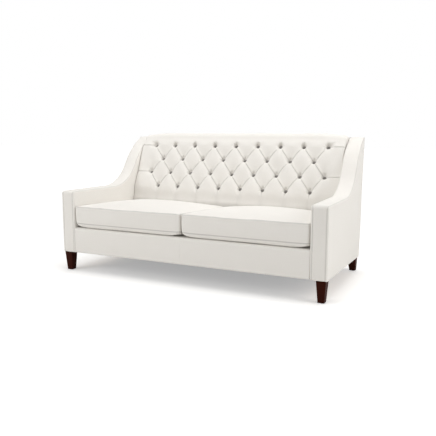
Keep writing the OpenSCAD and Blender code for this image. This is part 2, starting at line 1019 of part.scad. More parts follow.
// Rail at the foot of the outside back, let into the uprights
module back_bottom_rail() {
    color(timber)
        across(-post_out_x, post_out_x)
            bottom_rail_outline();
}

// Columns of buttons, as steps from the middle, and rows of buttons, as
// distances down the lean from the top roll
edge_u = (tuft_across - 1) / 2;
tuft_pitch = (inner_x(rear_y) - tuft_side) / edge_u;
first_row = (lean_top.y - (overall_h - tuft_drop)) / cos(back_lean);
tuft_row = tuft_row_share * (lean_top.y - cushion_top_z) / cos(back_lean);
function row_v(row) = first_row + row * tuft_row;
function lean_at(v, depth) = lean_top - lean_up * v - lean_in * depth;

// Elastic straps behind the foam, between the rows of buttons
module back_webbing() {
    color(strap_colour)
        for (row = [0 : tuft_rows - 1])
            let (mid = row_v(row + 0.5), depth = foam_back + face_gap)
                across(-post_out_x, post_out_x)
                    polygon([
                        lean_at(mid - strap_w / 2, depth), lean_at(mid + strap_w / 2, depth),
                        lean_at(mid + strap_w / 2, foam_back + strap_t),
                        lean_at(mid - strap_w / 2, foam_back + strap_t)]);
}

// Half width of the flat foam, inside the rounded side edges
foam_half_w = inner_x(rear_y) - side_roll;

// Foam slab, turned over the top rail, with a hole for each button's twine
twine_gap = 1;
module back_foam() {
    arc_r = core_r - tuft_base - face_gap;
    front = tuft_base + face_gap;
    rail_front = lean_point(foam_back, top_rail_top + face_gap);
    color(foam_colour)
        difference() {
            across(-foam_half_w, foam_half_w)
                polygon(concat(
                    [[plane_foot_y + front, deck_z + face_gap], foot_turn(front)],
                    [for (i = [len(roll_angles) - 1 : -1 : 0])
                        roll_centre + arc_r * [cos(roll_angles[i]), sin(roll_angles[i])]],
                    [[roll_centre.x + arc_r, rail_front.y], rail_front,
                    foot_turn(foam_back), [plane_foot_y + foam_back, deck_z + face_gap]]));
            at_buttons()
                translate([0, 0, -foam_back - 1])
                    cylinder(d = twine_d + 2 * twine_gap, h = foam_back + 1);
        }
}

// Run children at every button, with Z pointing out of the back
module at_buttons() {
    for (row = [0 : tuft_rows - 1]) {
        count = tuft_across - row % 2;
        place = lean_at(row_v(row), 0);
        for (i = [0 : count - 1])
            translate([(i - (count - 1) / 2) * tuft_pitch, place.x, place.y])
                rotate([90 - back_lean, 0, 0])
                    children();
    }
}

// Tufts. Across is measured in button steps from the middle, down in rows
cells = 6;
row_cells = 3;
side_steps = 5;
pit_floor = 0.8;
button_gap = 1;

// How full the tuft is: 0 at a button, 1 in the middle of a diamond
function fullness(u, q) =
    let (cu = min(max(u, -edge_u), edge_u),
        cq = min(max(q, 0), tuft_rows - 1),
        a = sin(180 * (cu + edge_u + cq / 2)),
        b = sin(180 * (cu + edge_u - cq / 2)))
            0.6 * sqrt((a * a + b * b) / 2) + 0.4 * sqrt(abs(a * b));

// Height of the padding over the buttons' plane. Above the first row it fills
// out to the roll, and below the last row its pleats fade towards the seat
low_puff = 14;
low_fill = 0.4;
above_rows = 0.66;
below_rows = 0.9;
function above_share(q) = ease(-q / above_rows);
function tuft_height(u, q) =
    let (above = above_share(q), below = ease((q - tuft_rows + 1) / below_rows),
        full = blend(fullness(u, q), 1, above),
        top = blend(blend(tuft_puff, roll_puff, above), low_puff, below))
            top * blend(full, low_fill + (1 - low_fill) * full, below);

// Drop of the crown towards the ends of the roll
end_droop = 14;
droop_run = 180;
function droop(x, above) =
    end_droop * above * ease((abs(x) - inner_x(rear_y) + droop_run) / droop_run);

// Rows of the tufted back's surface: place, direction of the padding, and row
// number, from the rear of the roll, over it and down to the seat deck
roll_steps = len(roll_angles) - 1;
side_blend = 65;
foot_mitre = [-1, tan(back_lean / 2)];
tuft_grid_rows = concat(
    [for (a = roll_angles)
        [roll_centre + core_r * [cos(a), sin(a)], [cos(a), sin(a)], -1, 0]],
    [for (i = [-1 : row_cells * (tuft_rows - 1) + 1])
        let (v = row_v(i / row_cells))
            [lean_at(v, 0), lean_in, i / row_cells, ease(v / side_blend)]],
    [[plane_foot, foot_mitre, tuft_rows, 1],
    [[plane_foot_y, deck_z], [-1, 0], tuft_rows, 1]]);

// Beside the arms the padding reaches back to the frame, and at the ends of
// the roll it stays nearly as full as in the middle
side_back = 3;
roll_end_drop = 12;
roll_hollow = 0.35;
function side_depth(row) = blend(core_r * (1 - roll_hollow), foam_back, row[3]);
function edge_height(row) = blend(roll_puff - roll_end_drop, side_back - foam_back, row[3]);
function deep_point(row) = row[0] - side_depth(row) * row[1];
function edge_point(row) = row[0] + edge_height(row) * row[1];
function edge_x(row) = inner_x(max(deep_point(row).x, edge_point(row).x)) - soft_gap;

// Columns: exact steps between the outer buttons, then an even run and a
// rounded edge out to the arm
half_cols = edge_u * cells;
edge_turns = 3;
cols = [-half_cols - side_steps : half_cols + side_steps];
function column_x(i, row) =
    let (n = abs(i), side = sign(i), last = half_cols * tuft_pitch / cells,
        edge = edge_x(row), flat = foam_half_w, flats = side_steps - edge_turns)
            n <= half_cols ? i * tuft_pitch / cells
            : n <= half_cols + flats ? side * (last + (flat - last) * (n - half_cols) / flats)
            : side * (flat + (edge - flat) * sin(90 * (n - half_cols - flats) / edge_turns));
function edge_drop(i) =
    let (n = abs(i) - half_cols - side_steps + edge_turns)
        n <= 0 ? 0 : 1 - cos(90 * n / edge_turns);

function skin_point(i, row) =
    let (x = column_x(i, row), u = x / tuft_pitch,
        top = tuft_height(u, row[2]) - droop(x, above_share(row[2])),
        h = blend(top, edge_height(row), edge_drop(i)), p = row[0] + h * row[1])
            [x, p.x, p.y];

// Points on the hidden face: against the frame beside the foam, against the
// foam between its ends
function back_points(row) =
    let (deep = deep_point(row), shallow = row[0] - tuft_base * row[1],
        edge = edge_x(row), flat = foam_half_w + soft_gap)
            [[-edge, deep.x, deep.y], [-flat, deep.x, deep.y], [-flat, shallow.x, shallow.y],
            [flat, shallow.x, shallow.y], [flat, deep.x, deep.y], [edge, deep.x, deep.y]];

// Two triangles of a grid's cell, split along a pleat where there is one
function cell_faces(a, b, c, d, rising) =
    rising ? [[a, b, c], [b, d, c]] : [[a, b, d], [a, d, c]];

// A pleat rises through a cell where the sum of its steps is a whole number
// of diamonds, and falls where their difference is
function splits_rising(i, j) =
    let (r = j - roll_steps - 1, sum = i + r + half_cols, gap = i + half_cols - r)
        sum % cells == 0 ? true
        : gap % cells == 1 ? false
        : (floor(sum / cells) + floor(gap / cells)) % 2 == 0;

// Triangles between an end row of the skin and the hidden face's six points:
// each stretch of the skin's row fans out from the point behind it
function strip_faces(skin, hidden, nc, flip) =
    let (stops = [0, 0, edge_turns, floor(nc / 2), nc - 1 - edge_turns, nc - 1],
        fans = [for (k = [1 : 4]) for (i = [stops[k] : stops[k + 1] - 1])
            [hidden + k, skin + i + 1, skin + i]],
        joins = [for (k = [0 : 4]) [hidden + k, hidden + k + 1, skin + stops[k + 1]]])
            [for (f = concat(fans, joins)) flip ? [f[2], f[1], f[0]] : f];

module tufted_skin() {
    rows = tuft_grid_rows;
    nr = len(rows);
    nc = 2 * (half_cols + side_steps) + 1;
    nb = 6;
    skin = [for (row = rows) for (i = cols) skin_point(i, row)];
    hidden = [for (row = rows) each back_points(row)];
    first = nr * nc;
    faces = concat(
        [for (j = [0 : nr - 2]) for (i = [0 : nc - 2])
            let (a = j * nc + i)
                each cell_faces(a, a + 1, a + nc, a + nc + 1,
                    splits_rising(i - half_cols - side_steps, j))],
        [for (j = [0 : nr - 2]) for (i = [0 : nb - 2])
            let (a = first + j * nb + i)
                each cell_faces(a + 1, a, a + nb + 1, a + nb, true)],
        [for (j = [0 : nr - 2])
            let (a = j * nc, b = first + j * nb)
                each cell_faces(b, a, b + nb, a + nc, true)],
        [for (j = [0 : nr - 2])
            let (a = j * nc + nc - 1, b = first + j * nb + nb - 1)
                each cell_faces(a, b, a + nc, b + nb, true)],
        strip_faces(0, first, nc, false),
        strip_faces((nr - 1) * nc, first + (nr - 1) * nb, nc, true));
    polyhedron(concat(skin, hidden), faces);
}

// Buttoned padding of the inside back, with its fabric, over the top roll
module tufted_back() {
    color(linen)
        difference() {
            tufted_skin();
            at_buttons() {
                translate([0, 0, pit_floor])
                    cylinder(d = button_d + 2 * button_gap, h = tuft_puff);
                translate([0, 0, -tuft_base - 1])
                    cylinder(d = twine_d + 2 * twine_gap, h = tuft_base + pit_floor + 2);
            }
        }
}

// Fabric-covered buttons
module back_buttons() {
    dome_r = (button_d ^ 2 / 4 + button_h ^ 2) / (2 * button_h);
    color(linen)
        at_buttons()
            translate([0, 0, pit_floor])
                intersection() {
                    cylinder(d = button_d, h = button_h);
                    translate([0, 0, button_h - dome_r])
                        sphere(r = dome_r);
                }
}

// Twine from each button through the foam, tied to a washer
module button_ties() {
    color(strap_colour)
        at_buttons() {
            translate([0, 0, -foam_back - washer_t])
                cylinder(d = twine_d, h = foam_back + washer_t + pit_floor - face_gap);
            translate([0, 0, -foam_back - washer_t])
                cylinder(d = washer_d, h = washer_t - face_gap);
        }
}

// Fabric over the whole rear of the sofa
module outside_back_cover() {
    roll_rear = roll_centre.y;
    color(linen)
        intersection() {
            across(-half_w, half_w)
                polygon([
                    [foot_y - cover_t, rear_base_z], [foot_y, rear_base_z],
                    [rear_face_y(corner_z), corner_z], [rear_face_y(corner_z) - cover_t, corner_z]]);
            linear_extrude(overall_h)
                polygon([
                    [-outer_x(front_y), front_y], [outer_x(front_y), front_y],
                    [outer_x(rear_y), rear_y], [-outer_x(rear_y), rear_y]]);
            translate([0, rear_y + 1, 0])
                rotate([90, 0, 0])
                    linear_extrude(overall_d)
                        polygon([
                            [-half_w, 0], [half_w, 0],
                            [half_w, corner_z], [inner_x(rear_y), corner_z],
                            [inner_x(rear_y), roll_rear - soft_gap],
                            [-inner_x(rear_y), roll_rear - soft_gap],
                            [-inner_x(rear_y), corner_z], [-half_w, corner_z]]);
        }
}

// Cushions. Each is drawn as rings round its sides, from the middle of its
// bottom to the middle of its top
cushion_bottom_z = deck_z + soft_gap;
cushion_rear_y = plane_foot_y - cushion_room;
cushion_d = cushion_rear_y - front_y;
corner_steps = 4;
long_steps = 8;
short_steps = 6;

// Points round a rectangle with round corners, drawn in by a distance
function rounded_ring(w, d, r, inset) =
    let (q = max(r - inset / 2, 4), x1 = w - inset - q, y1 = d - inset - q, lo = inset + q,
        corners = [[x1, y1, 0], [lo, y1, 90], [lo, lo, 180], [x1, lo, 270]],
        runs = [long_steps, short_steps, long_steps, short_steps])
            [for (k = [0 : 3])
                let (c = corners[k], n = corners[(k + 1) % 4], a1 = c[2] + 90,
                    from = [c.x + q * cos(a1), c.y + q * sin(a1)],
                    to = [n.x + q * cos(a1), n.y + q * sin(a1)])
                        each concat(
                            [for (s = [0 : corner_steps])
                                let (a = c[2] + 90 * s / corner_steps)
                                    [c.x + q * cos(a), c.y + q * sin(a)]],
                            [for (s = [1 : runs[k] - 1]) from + (to - from) * s / runs[k]])];

// Rings of a cushion: height, distance in from the side, share of the size
low_edge_in = 16;
crown_in = 40;
function cushion_rings(shrink) =
    let (low = cushion_bottom_z, high = cushion_top_z, draw = cushion_draw,
        seam = low + cushion_low_seam, side = high - seam)
            [[low + shrink, low_edge_in, 0.45], [low + shrink, low_edge_in, 1],
            [low + shrink + low_edge_in / 4, low_edge_in * 0.4, 1],
            [seam, draw * 0.75, 1],
            [seam + side * 0.3, 0, 1], [seam + side * 0.7, 0, 1],
            [high - shrink / 2, draw, 1],
            [high + cushion_crown * 0.3 - shrink, draw + crown_in * 0.3, 1],
            [high + cushion_crown * 0.6 - shrink, draw + crown_in, 1],
            [high + cushion_crown * 0.87 - shrink, draw + crown_in, 0.7],
            [high + cushion_crown * 0.98 - shrink, draw + crown_in, 0.36]];

function cushion_ring(ring, shrink) =
    let (w = inner_x(front_y) - 1.5 * cushion_gap, d = cushion_d,
        middle = [w / 2, d / 2])
            [for (p = rounded_ring(w, d, cushion_r, ring[1] + shrink))
                let (q = middle + (p - middle) * ring[2], y = front_y + q.y)
                    [cushion_gap / 2 + q.x * (inner_x(y) - 1.5 * cushion_gap) / w, y, ring[0]]];

// The left cushion's shape is the right one's, mirrored
module cushion_solid(side, shrink) {
    rings = cushion_rings(shrink);
    n = len(rounded_ring(100, 100, 10, 0));
    nr = len(rings);
    points = [for (ring = rings) each cushion_ring(ring, shrink)];
    middle_y = front_y + cushion_d / 2;
    middle_x = inner_x(middle_y) / 2;
    low = [middle_x, middle_y, rings[0][0]];
    high = [middle_x, middle_y, cushion_top_z + cushion_crown - shrink];
    faces = concat(
        [for (i = [0 : n - 1]) [nr * n, i, (i + 1) % n]],
        [for (j = [0 : nr - 2]) for (i = [0 : n - 1])
            let (a = j * n + i, b = j * n + (i + 1) % n)
                each [[a, a + n, b], [b, a + n, b + n]]],
        [for (i = [0 : n - 1]) [nr * n + 1, (nr - 1) * n + (i + 1) % n, (nr - 1) * n + i]]);
    mirror([side == LEFT ? 1 : 0, 0, 0])
        polyhedron(concat(points, [low, high]), faces);
}

module cushion_cover(side) {
    color(linen)
        difference() {
            cushion_solid(side, 0);
            cushion_solid(side, cushion_cover_t);
        }
}

module left_cushion_cover() {
    cushion_cover(LEFT);
}

module right_cushion_cover() {
    cushion_cover(RIGHT);
}

module cushion_foam(side) {
    color(foam_colour)
        cushion_solid(side, cushion_cover_t + soft_gap);
}

module left_cushion_foam() {
    cushion_foam(LEFT);
}

module right_cushion_foam() {
    cushion_foam(RIGHT);
}

// Zip along the back of a cushion, with its slider parked at the outer end
zip_z = cushion_bottom_z + cushion_low_seam + (cushion_h - cushion_low_seam) / 2;
zip_x0 = zip_margin;
zip_x1 = inner_x(cushion_rear_y) - zip_margin;
zip_y = cushion_rear_y;
slider_end_gap = 4;
slider_x1 = zip_x1 - slider_end_gap;

module cushion_zip(side) {
    color(linen)
        mirror([side == LEFT ? 1 : 0, 0, 0]) {
            translate([zip_x0, zip_y, zip_z - zip_w / 2])
                cube([zip_x1 - zip_x0, zip_t, zip_w]);
            translate([zip_x0, zip_y, zip_z - zip_teeth_w / 2])
                cube([zip_x1 - zip_x0, zip_t + zip_teeth_t, zip_teeth_w]);
        }
}

module left_cushion_zip() {
    cushion_zip(LEFT);
}

module right_cushion_zip() {
    cushion_zip(RIGHT);
}

// Slider that runs along the teeth, with its pull tab hanging
module zip_slider(side) {
    slot_h = zip_teeth_w + 2 * slider_gap;
    body_h = slot_h + 2 * slider_wall;
    body_y = zip_y + zip_t + slider_gap;
    body_t = zip_teeth_t + slider_wall;
    color(steel)
        mirror([side == LEFT ? 1 : 0, 0, 0])
            translate([slider_x1 - slider_l, body_y, zip_z - body_h / 2]) {
                difference() {
                    cube([slider_l, body_t, body_h]);
                    translate([-1, -1, slider_wall])
                        cube([slider_l + 2, zip_teeth_t + 1, slot_h]);
                }
                translate([slider_l / 3, 0, -slider_l])
                    cube([slider_l / 3, slider_wall, slider_l]);
            }
}

module left_zip_slider() {
    zip_slider(LEFT);
}

module right_zip_slider() {
    zip_slider(RIGHT);
}

front_left_leg();
front_right_leg();
rear_left_leg();
rear_right_leg();
glides();
leg_bolts();
leg_nuts();
leg_blocks();
arm_base_rails();
arm_front_posts();
arm_rear_posts();
arm_top_slats();
arm_inner_boards();
arm_bolt_rails();
arm_bolts();
left_arm_side_panel();
right_arm_side_panel();
left_arm_foam();
right_arm_foam();
left_arm_outer_cover();
right_arm_outer_cover();
left_arm_inner_cover();
right_arm_inner_cover();
left_arm_top_band();
right_arm_top_band();
left_arm_front_panel();
right_arm_front_panel();
front_rail();
rear_rail();
side_rails();
centre_rail();
corner_blocks();
seat_springs();
spring_clips();
seat_deck();
dust_cover();
front_rail_foam();
front_rail_cover();
back_posts();
back_middle_posts();
back_top_rail();
back_tack_rail();
back_bottom_rail();
back_webbing();
back_foam();
tufted_back();
back_buttons();
button_ties();
outside_back_cover();
left_cushion_cover();
right_cushion_cover();
left_cushion_foam();
right_cushion_foam();
left_cushion_zip();
right_cushion_zip();
left_zip_slider();
right_zip_slider();
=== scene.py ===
import bpy
import numpy as np
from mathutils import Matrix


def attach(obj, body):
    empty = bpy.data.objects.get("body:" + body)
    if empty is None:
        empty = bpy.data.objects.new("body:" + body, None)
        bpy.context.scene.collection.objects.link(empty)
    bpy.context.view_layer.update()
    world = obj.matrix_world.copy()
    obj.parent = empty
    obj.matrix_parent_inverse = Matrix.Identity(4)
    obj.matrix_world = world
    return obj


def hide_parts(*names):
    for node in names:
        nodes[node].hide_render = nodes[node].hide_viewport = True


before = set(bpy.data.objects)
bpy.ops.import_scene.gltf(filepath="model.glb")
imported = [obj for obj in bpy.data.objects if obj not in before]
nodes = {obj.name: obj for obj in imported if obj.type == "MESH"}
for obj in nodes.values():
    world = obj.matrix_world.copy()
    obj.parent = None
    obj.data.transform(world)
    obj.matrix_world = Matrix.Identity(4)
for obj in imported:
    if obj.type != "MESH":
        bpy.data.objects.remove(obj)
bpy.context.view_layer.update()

# Legs, glides and bolts
# Four square tapered legs of solid beech, stained espresso and lacquered to a
# satin. Each is drawn up to the base by a bolt, and stands on a nailed glide.

ESPRESSO = (56, 17, 6)
ESPRESSO_DARK = (38, 10, 3)
BARE_EDGE = (96, 52, 30)
NYLON = (38, 38, 40)
NYLON_SCUFF = (70, 70, 72)
ZINC = (176, 176, 168)


def colour(rgb, alpha=1.0):
    """A screen colour of three numbers to 255, as the shader's linear colour."""
    c = np.array(rgb) / 255
    linear = np.where(c <= 0.04045, c / 12.92, ((c + 0.055) / 1.055) ** 2.4)
    return (*linear.tolist(), alpha)


def add(tree, kind, inputs=None, **settings):
    """A node of a kind, with its settings, and with its inputs set by name or number."""
    made = tree.nodes.new(kind)
    for name, value in settings.items():
        setattr(made, name, value)
    for name, value in (inputs or {}).items():
        if isinstance(value, bpy.types.NodeSocket):
            tree.links.new(value, made.inputs[name])
        else:
            made.inputs[name].default_value = value
    return made


def maths(tree, operation, *values, clamp=False):
    """The result of a Math node on numbers or sockets."""
    inputs = dict(enumerate(values))
    return add(tree, "ShaderNodeMath", inputs, operation=operation, use_clamp=clamp).outputs[0]


def mixed(tree, share, one, other):
    """One colour turning to another as the share goes from 0 to 1."""
    inputs = {0: share, 6: one, 7: other}
    return add(tree, "ShaderNodeMix", inputs, data_type="RGBA").outputs[2]


def noise(tree, place, scale, detail, stretch=None, **others):
    """Noise over a place, which is first multiplied by the stretch where there is one."""
    if stretch is not None:
        place = add(tree, "ShaderNodeVectorMath", {0: place, 1: stretch},
                    operation="MULTIPLY").outputs[0]
    inputs = {"Vector": place, "Scale": scale, "Detail": detail, **others}
    return add(tree, "ShaderNodeTexNoise", inputs).outputs[0]


def new_group(name, inputs, outputs):
    """A shader group with named inputs, each with its first value, and outputs. Gives
    the group, its inputs' sockets and its output node."""
    group = bpy.data.node_groups.new(name, "ShaderNodeTree")
    kinds = {"v": "NodeSocketVector", "c": "NodeSocketColor", "f": "NodeSocketFloat"}
    for title, kind, value in inputs:
        socket = group.interface.new_socket(title, in_out="INPUT", socket_type=kinds[kind])
        if value is not None:
            socket.default_value = value
    for title, kind in outputs:
        group.interface.new_socket(title, in_out="OUTPUT", socket_type=kinds[kind])
    return group, add(group, "NodeGroupInput").outputs, add(group, "NodeGroupOutput")


def put_out(group, result, **values):
    """A group's results, each linked to its output by name."""
    for name, value in values.items():
        group.links.new(value, result.inputs[name])


def placed(tree, group, inputs):
    """A group put into a material, with that material's own values."""
    return add(tree, "ShaderNodeGroup", inputs, node_tree=group).outputs


def new_material(name):
    """An empty material with its tree."""
    material = bpy.data.materials.new(name)
    material.use_nodes = True
    material.node_tree.nodes.clear()
    return material, material.node_tree


def surface(tree, look, height=None, relief=0.001, strength=1.0, **constants):
    """The Principled shader, with its inputs, a bump from a height, and the output."""
    shader = add(tree, "ShaderNodeBsdfPrincipled", look)
    for name, value in constants.items():
        shader.inputs[name.replace("_", " ")].default_value = value
    if height is not None:
        bump = add(tree, "ShaderNodeBump", {"Height": height, "Distance": relief})
        bump.inputs["Strength"].default_value = strength
        tree.links.new(bump.outputs[0], shader.inputs["Normal"])
    add(tree, "ShaderNodeOutputMaterial", {"Surface": shader.outputs[0]})


def make_grain():
    """Wood grain: noise drawn out along the axis that has the smallest share in Along,
    with fine pores in it."""
    group, given, result = new_group(
        "wood_grain",
        [("Vector", "v", None), ("Along", "v", (1, 1, 1)),
         ("Light", "c", (0.8, 0.8, 0.8, 1)), ("Dark", "c", (0.1, 0.1, 0.1, 1)),
         ("Rough", "f", 0.5)],
        [("Color", "c"), ("Roughness", "f"), ("Height", "f")])
    bands = noise(group, given["Vector"], 22.0, 5.0, given["Along"], Roughness=0.6, Distortion=0.7)
    pores = noise(group, given["Vector"], 210.0, 2.0, given["Along"])
    share = maths(group, "MULTIPLY_ADD", pores, 0.35,
                  maths(group, "MULTIPLY_ADD", bands, 1.3, -0.35), clamp=True)
    smooth = maths(group, "SUBTRACT", given["Rough"], 0.1)
    put_out(group, result, Color=mixed(group, share, given["Dark"], given["Light"]),
            Roughness=maths(group, "MULTIPLY_ADD", pores, 0.2, smooth), Height=share)
    return group


def make_edge_wear():
    """Edge wear: a mask that is 1 where the rounded normal departs from the face's,
    broken up by noise."""
    group, given, result = new_group(
        "edge_wear",
        [("Vector", "v", None), ("Width", "f", 0.002), ("Amount", "f", 0.5)],
        [("Mask", "f")])
    rounded = add(group, "ShaderNodeBevel", {"Radius": given["Width"]}, samples=4).outputs[0]
    face = add(group, "ShaderNodeNewGeometry").outputs["True Normal"]
    likeness = add(group, "ShaderNodeVectorMath", {0: rounded, 1: face},
                   operation="DOT_PRODUCT").outputs["Value"]
    rubs = noise(group, given["Vector"], 60.0, 3.0)
    edge = maths(group, "MULTIPLY", maths(group, "SUBTRACT", 1.0, likeness), 6.0, clamp=True)
    broken = maths(group, "MULTIPLY_ADD", rubs, 4.0, -1.8, clamp=True)
    worn = maths(group, "MULTIPLY", edge, broken)
    put_out(group, result, Mask=maths(group, "MULTIPLY", worn, given["Amount"]))
    return group


grain = make_grain()
edge_wear = make_edge_wear()


def place_of(tree):
    """The object's own coordinates, in metres."""
    return add(tree, "ShaderNodeTexCoord").outputs["Object"]


def make_espresso():
    """Stained and lacquered beech, with the grain standing upright."""
    material, tree = new_material("espresso_lacquer")
    place = place_of(tree)
    wood = placed(tree, grain, {
        "Vector": place, "Along": (1.0, 1.0, 0.08), "Rough": 0.55,
        "Light": colour(ESPRESSO), "Dark": colour(ESPRESSO_DARK)})
    worn = placed(tree, edge_wear, {"Vector": place, "Width": 0.0015, "Amount": 0.35})
    surface(
        tree,
        {"Base Color": mixed(tree, worn["Mask"], wood["Color"], colour(BARE_EDGE)),
         "Roughness": wood["Roughness"]},
        wood["Height"], relief=0.0002, Specular_IOR_Level=0.05)
    return material


def make_marked(name, dark, light, marks, rough, spread, relief=0.0001, **looks):
    """A finish whose colour, roughness and height follow one fine noise. The marks are
    its scale, its detail and its stretch."""
    material, tree = new_material(name)
    fine = noise(tree, place_of(tree), *marks)
    surface(
        tree,
        {"Base Color": mixed(tree, fine, colour(dark), colour(light)),
         "Roughness": maths(tree, "MULTIPLY_ADD", fine, spread, rough)},
        fine, relief=relief, **looks)
    return material


def make_metal(name, tone, brush, rough):
    """Drawn or pressed metal, its marks brushed out along one axis."""
    darker = tuple(0.72 * c for c in tone)
    return make_marked(name, darker, tone, (90.0, 4.0, brush), rough, 0.25, Metallic=1.0)


def finish(material, *names):
    """CAD nodes keep their shape and take a material."""
    for name in names:
        mesh = nodes[name].data
        mesh.materials.clear()
        mesh.materials.append(material)


finish(make_espresso(), "front_left_leg", "front_right_leg", "rear_left_leg", "rear_right_leg")
# Moulded black nylon, scuffed in fine scratches
finish(make_marked("glide_nylon", NYLON, NYLON_SCUFF, (320.0, 4.0), 0.35, 0.3), "glides")
finish(make_metal("zinc_bolts", ZINC, (1, 1, 12), 0.25),
       "leg_bolts", "leg_nuts", "arm_bolts")

# Wooden frame
# Softwood rails and blocks and birch plywood boards, glued and screwed, inside
# the arms, the seat base and the back.

PINE_LIGHT = (214, 182, 134)
PINE_DARK = (176, 134, 84)
BIRCH_LIGHT = (222, 196, 152)
BIRCH_DARK = (190, 156, 108)


def make_timber(name, along, light, dark, rough):
    """Bare sawn wood, with its grain along an axis."""
    material, tree = new_material(name)
    wood = placed(tree, grain, {
        "Vector": place_of(tree), "Along": along, "Rough": rough,
        "Light": colour(light), "Dark": colour(dark)})
    surface(tree, {"Base Color": wood["Color"], "Roughness": wood["Roughness"]},
            wood["Height"], relief=0.0004)
    return material


finish(make_timber("pine_across", (0.08, 1, 1), PINE_LIGHT, PINE_DARK, 0.7),
       "front_rail", "rear_rail", "back_top_rail", "back_tack_rail", "back_bottom_rail")
finish(make_timber("pine_along", (1, 0.08, 1), PINE_LIGHT, PINE_DARK, 0.7),
       "arm_base_rails", "arm_bolt_rails", "side_rails", "centre_rail", "corner_blocks")
finish(make_timber("pine_upright", (1, 1, 0.08), PINE_LIGHT, PINE_DARK, 0.7),
       "arm_front_posts", "arm_rear_posts", "leg_blocks")
finish(make_timber("birch_ply", (1, 0.1, 0.6), BIRCH_LIGHT, BIRCH_DARK, 0.6),
       "left_arm_side_panel", "right_arm_side_panel", "arm_inner_boards", "arm_top_slats",
       "back_posts", "back_middle_posts")

# Seat springs
# Eight zigzag springs of oiled steel wire, clipped to the front and rear rails.

SPRING_STEEL = (96, 98, 102)

finish(make_metal("spring_wire", SPRING_STEEL, (1, 6, 1), 0.3), "seat_springs", "spring_clips")

# Arms
# A foam-padded plywood frame. One band of linen runs up the front of the arm and
# back over its top, and is seamed to a plain panel on either side.

LINEN = (237, 234, 229)
LINEN_SHADE = (226, 222, 215)
# Colours painted in for shade, in creases, pits, seams and gaps, and for highlights on lips
LINEN_PAINTED_SHADE = (116, 113, 109)
LINEN_PAINTED_HIGHLIGHT = (252, 250, 246)
THREAD = 0.0011

# The sofa's outline: its depth, half width and tapering plan, and its pitched underside
SIDES = ((-1, "left"), (1, "right"))
FRONT_Y = -0.455
REAR_Y = 0.455
HALF_W = 0.905
TAPER = 0.025
BASE_Z = 0.128
BASE_DROP = 0.032
FOOT_Y = 0.4
CORNER_Z = 0.886

# The arm's outline from the side, its rounded edges, and its seams with shade painted along them
ARM_W = 0.1
ARM_H = 0.535
LEVEL_END = -0.025
SWOOP_R = 0.29
SWOOP_SLOPE = np.radians(56)
CREST_R = 0.46
NOSE_R = 0.018
EDGE_R = 0.008
SEAM_IN = 0.012
SEAM_DEPTH = 0.0018
SEAM_W = 0.0030
PAINTED_SEAM_SHADE = 0.24

# The band's and the side panels' grids, and how far their padding swells
PATH_STEP = 0.007
BAND_COLUMNS = 41
BAND_CROWN = 0.0035
BAND_FOOT = 0.004
RIM_ROWS = 12
RIM_DOWN = 0.004
RIM_LEAST = 0.006
PANEL_ROWS = 26
PANEL_BULGE = 0.0012
PANEL_TURN_IN = 0.002


def outer_x(y):
    """Half width over the arms at a depth."""
    return HALF_W - TAPER * (y - FRONT_Y) / (REAR_Y - FRONT_Y)


def inner_x(y):
    """Half width between the arms at a depth."""
    return outer_x(y) - ARM_W


def low_z(y):
    """Height of the pitched underside at a depth."""
    return BASE_Z - BASE_DROP * (y - FRONT_Y) / (FOOT_Y - FRONT_Y)


def ease(t):
    """A smooth step from 0 to 1 as t goes from 0 to 1."""
    c = np.clip(t, 0, 1)
    return c * c * (3 - 2 * c)


def blend(a, b, t):
    """From a to b as t goes from 0 to 1."""
    return a + (b - a) * t


def bell(distance, width):
    """A bell curve: e to the minus square of the distance in widths."""
    return np.exp(-(distance / width) ** 2)


def ripple(u, v, seed, size, depth):
    """A gentle unevenness: the sum of seven sine waves of about one size, whose
    directions and starts come from the seed."""
    rng = np.random.default_rng(seed)
    total = np.zeros(np.broadcast(u, v).shape)
    for _ in range(7):
        angle, start = rng.uniform(0, 2 * np.pi, 2)
        length = size * rng.uniform(0.7, 1.6)
        total += np.sin(2 * np.pi * (u * np.cos(angle) + v * np.sin(angle)) / length + start)
    return depth * total / 4


def run_length(points):
    """Distance along a line of points, from its start."""
    steps = np.linalg.norm(np.diff(points, axis=0), axis=1)
    return np.concatenate([[0], np.cumsum(steps)])


def evenly(points, step):
    """The same line with its points an even step apart."""
    run = run_length(points)
    at = np.linspace(0, run[-1], int(run[-1] / step) + 1)
    return np.stack([np.interp(at, run, points[:, k]) for k in range(points.shape[1])], 1)


def arc(centre, radius, start, stop, steps=24):
    """Points round a centre, from one angle to another, in radians."""
    a = np.linspace(start, stop, steps)
    return np.stack([centre[0] + radius * np.cos(a), centre[1] + radius * np.sin(a)], 1)


def facing_out(line):
    """Directions square to a line of points, on its left as it runs."""
    ahead = np.gradient(line, run_length(line), axis=0)
    ahead /= np.linalg.norm(ahead, axis=1)[:, None]
    return np.stack([-ahead[:, 1], ahead[:, 0]], 1)


def mirrored(half):
    """Distances from the middle outwards, and the same on the other side of it."""
    return np.concatenate([-half[:0:-1], half])


def gridded(*parts):
    """A grid of points from an array for each of their numbers."""
    return np.stack(np.broadcast_arrays(*parts), -1)


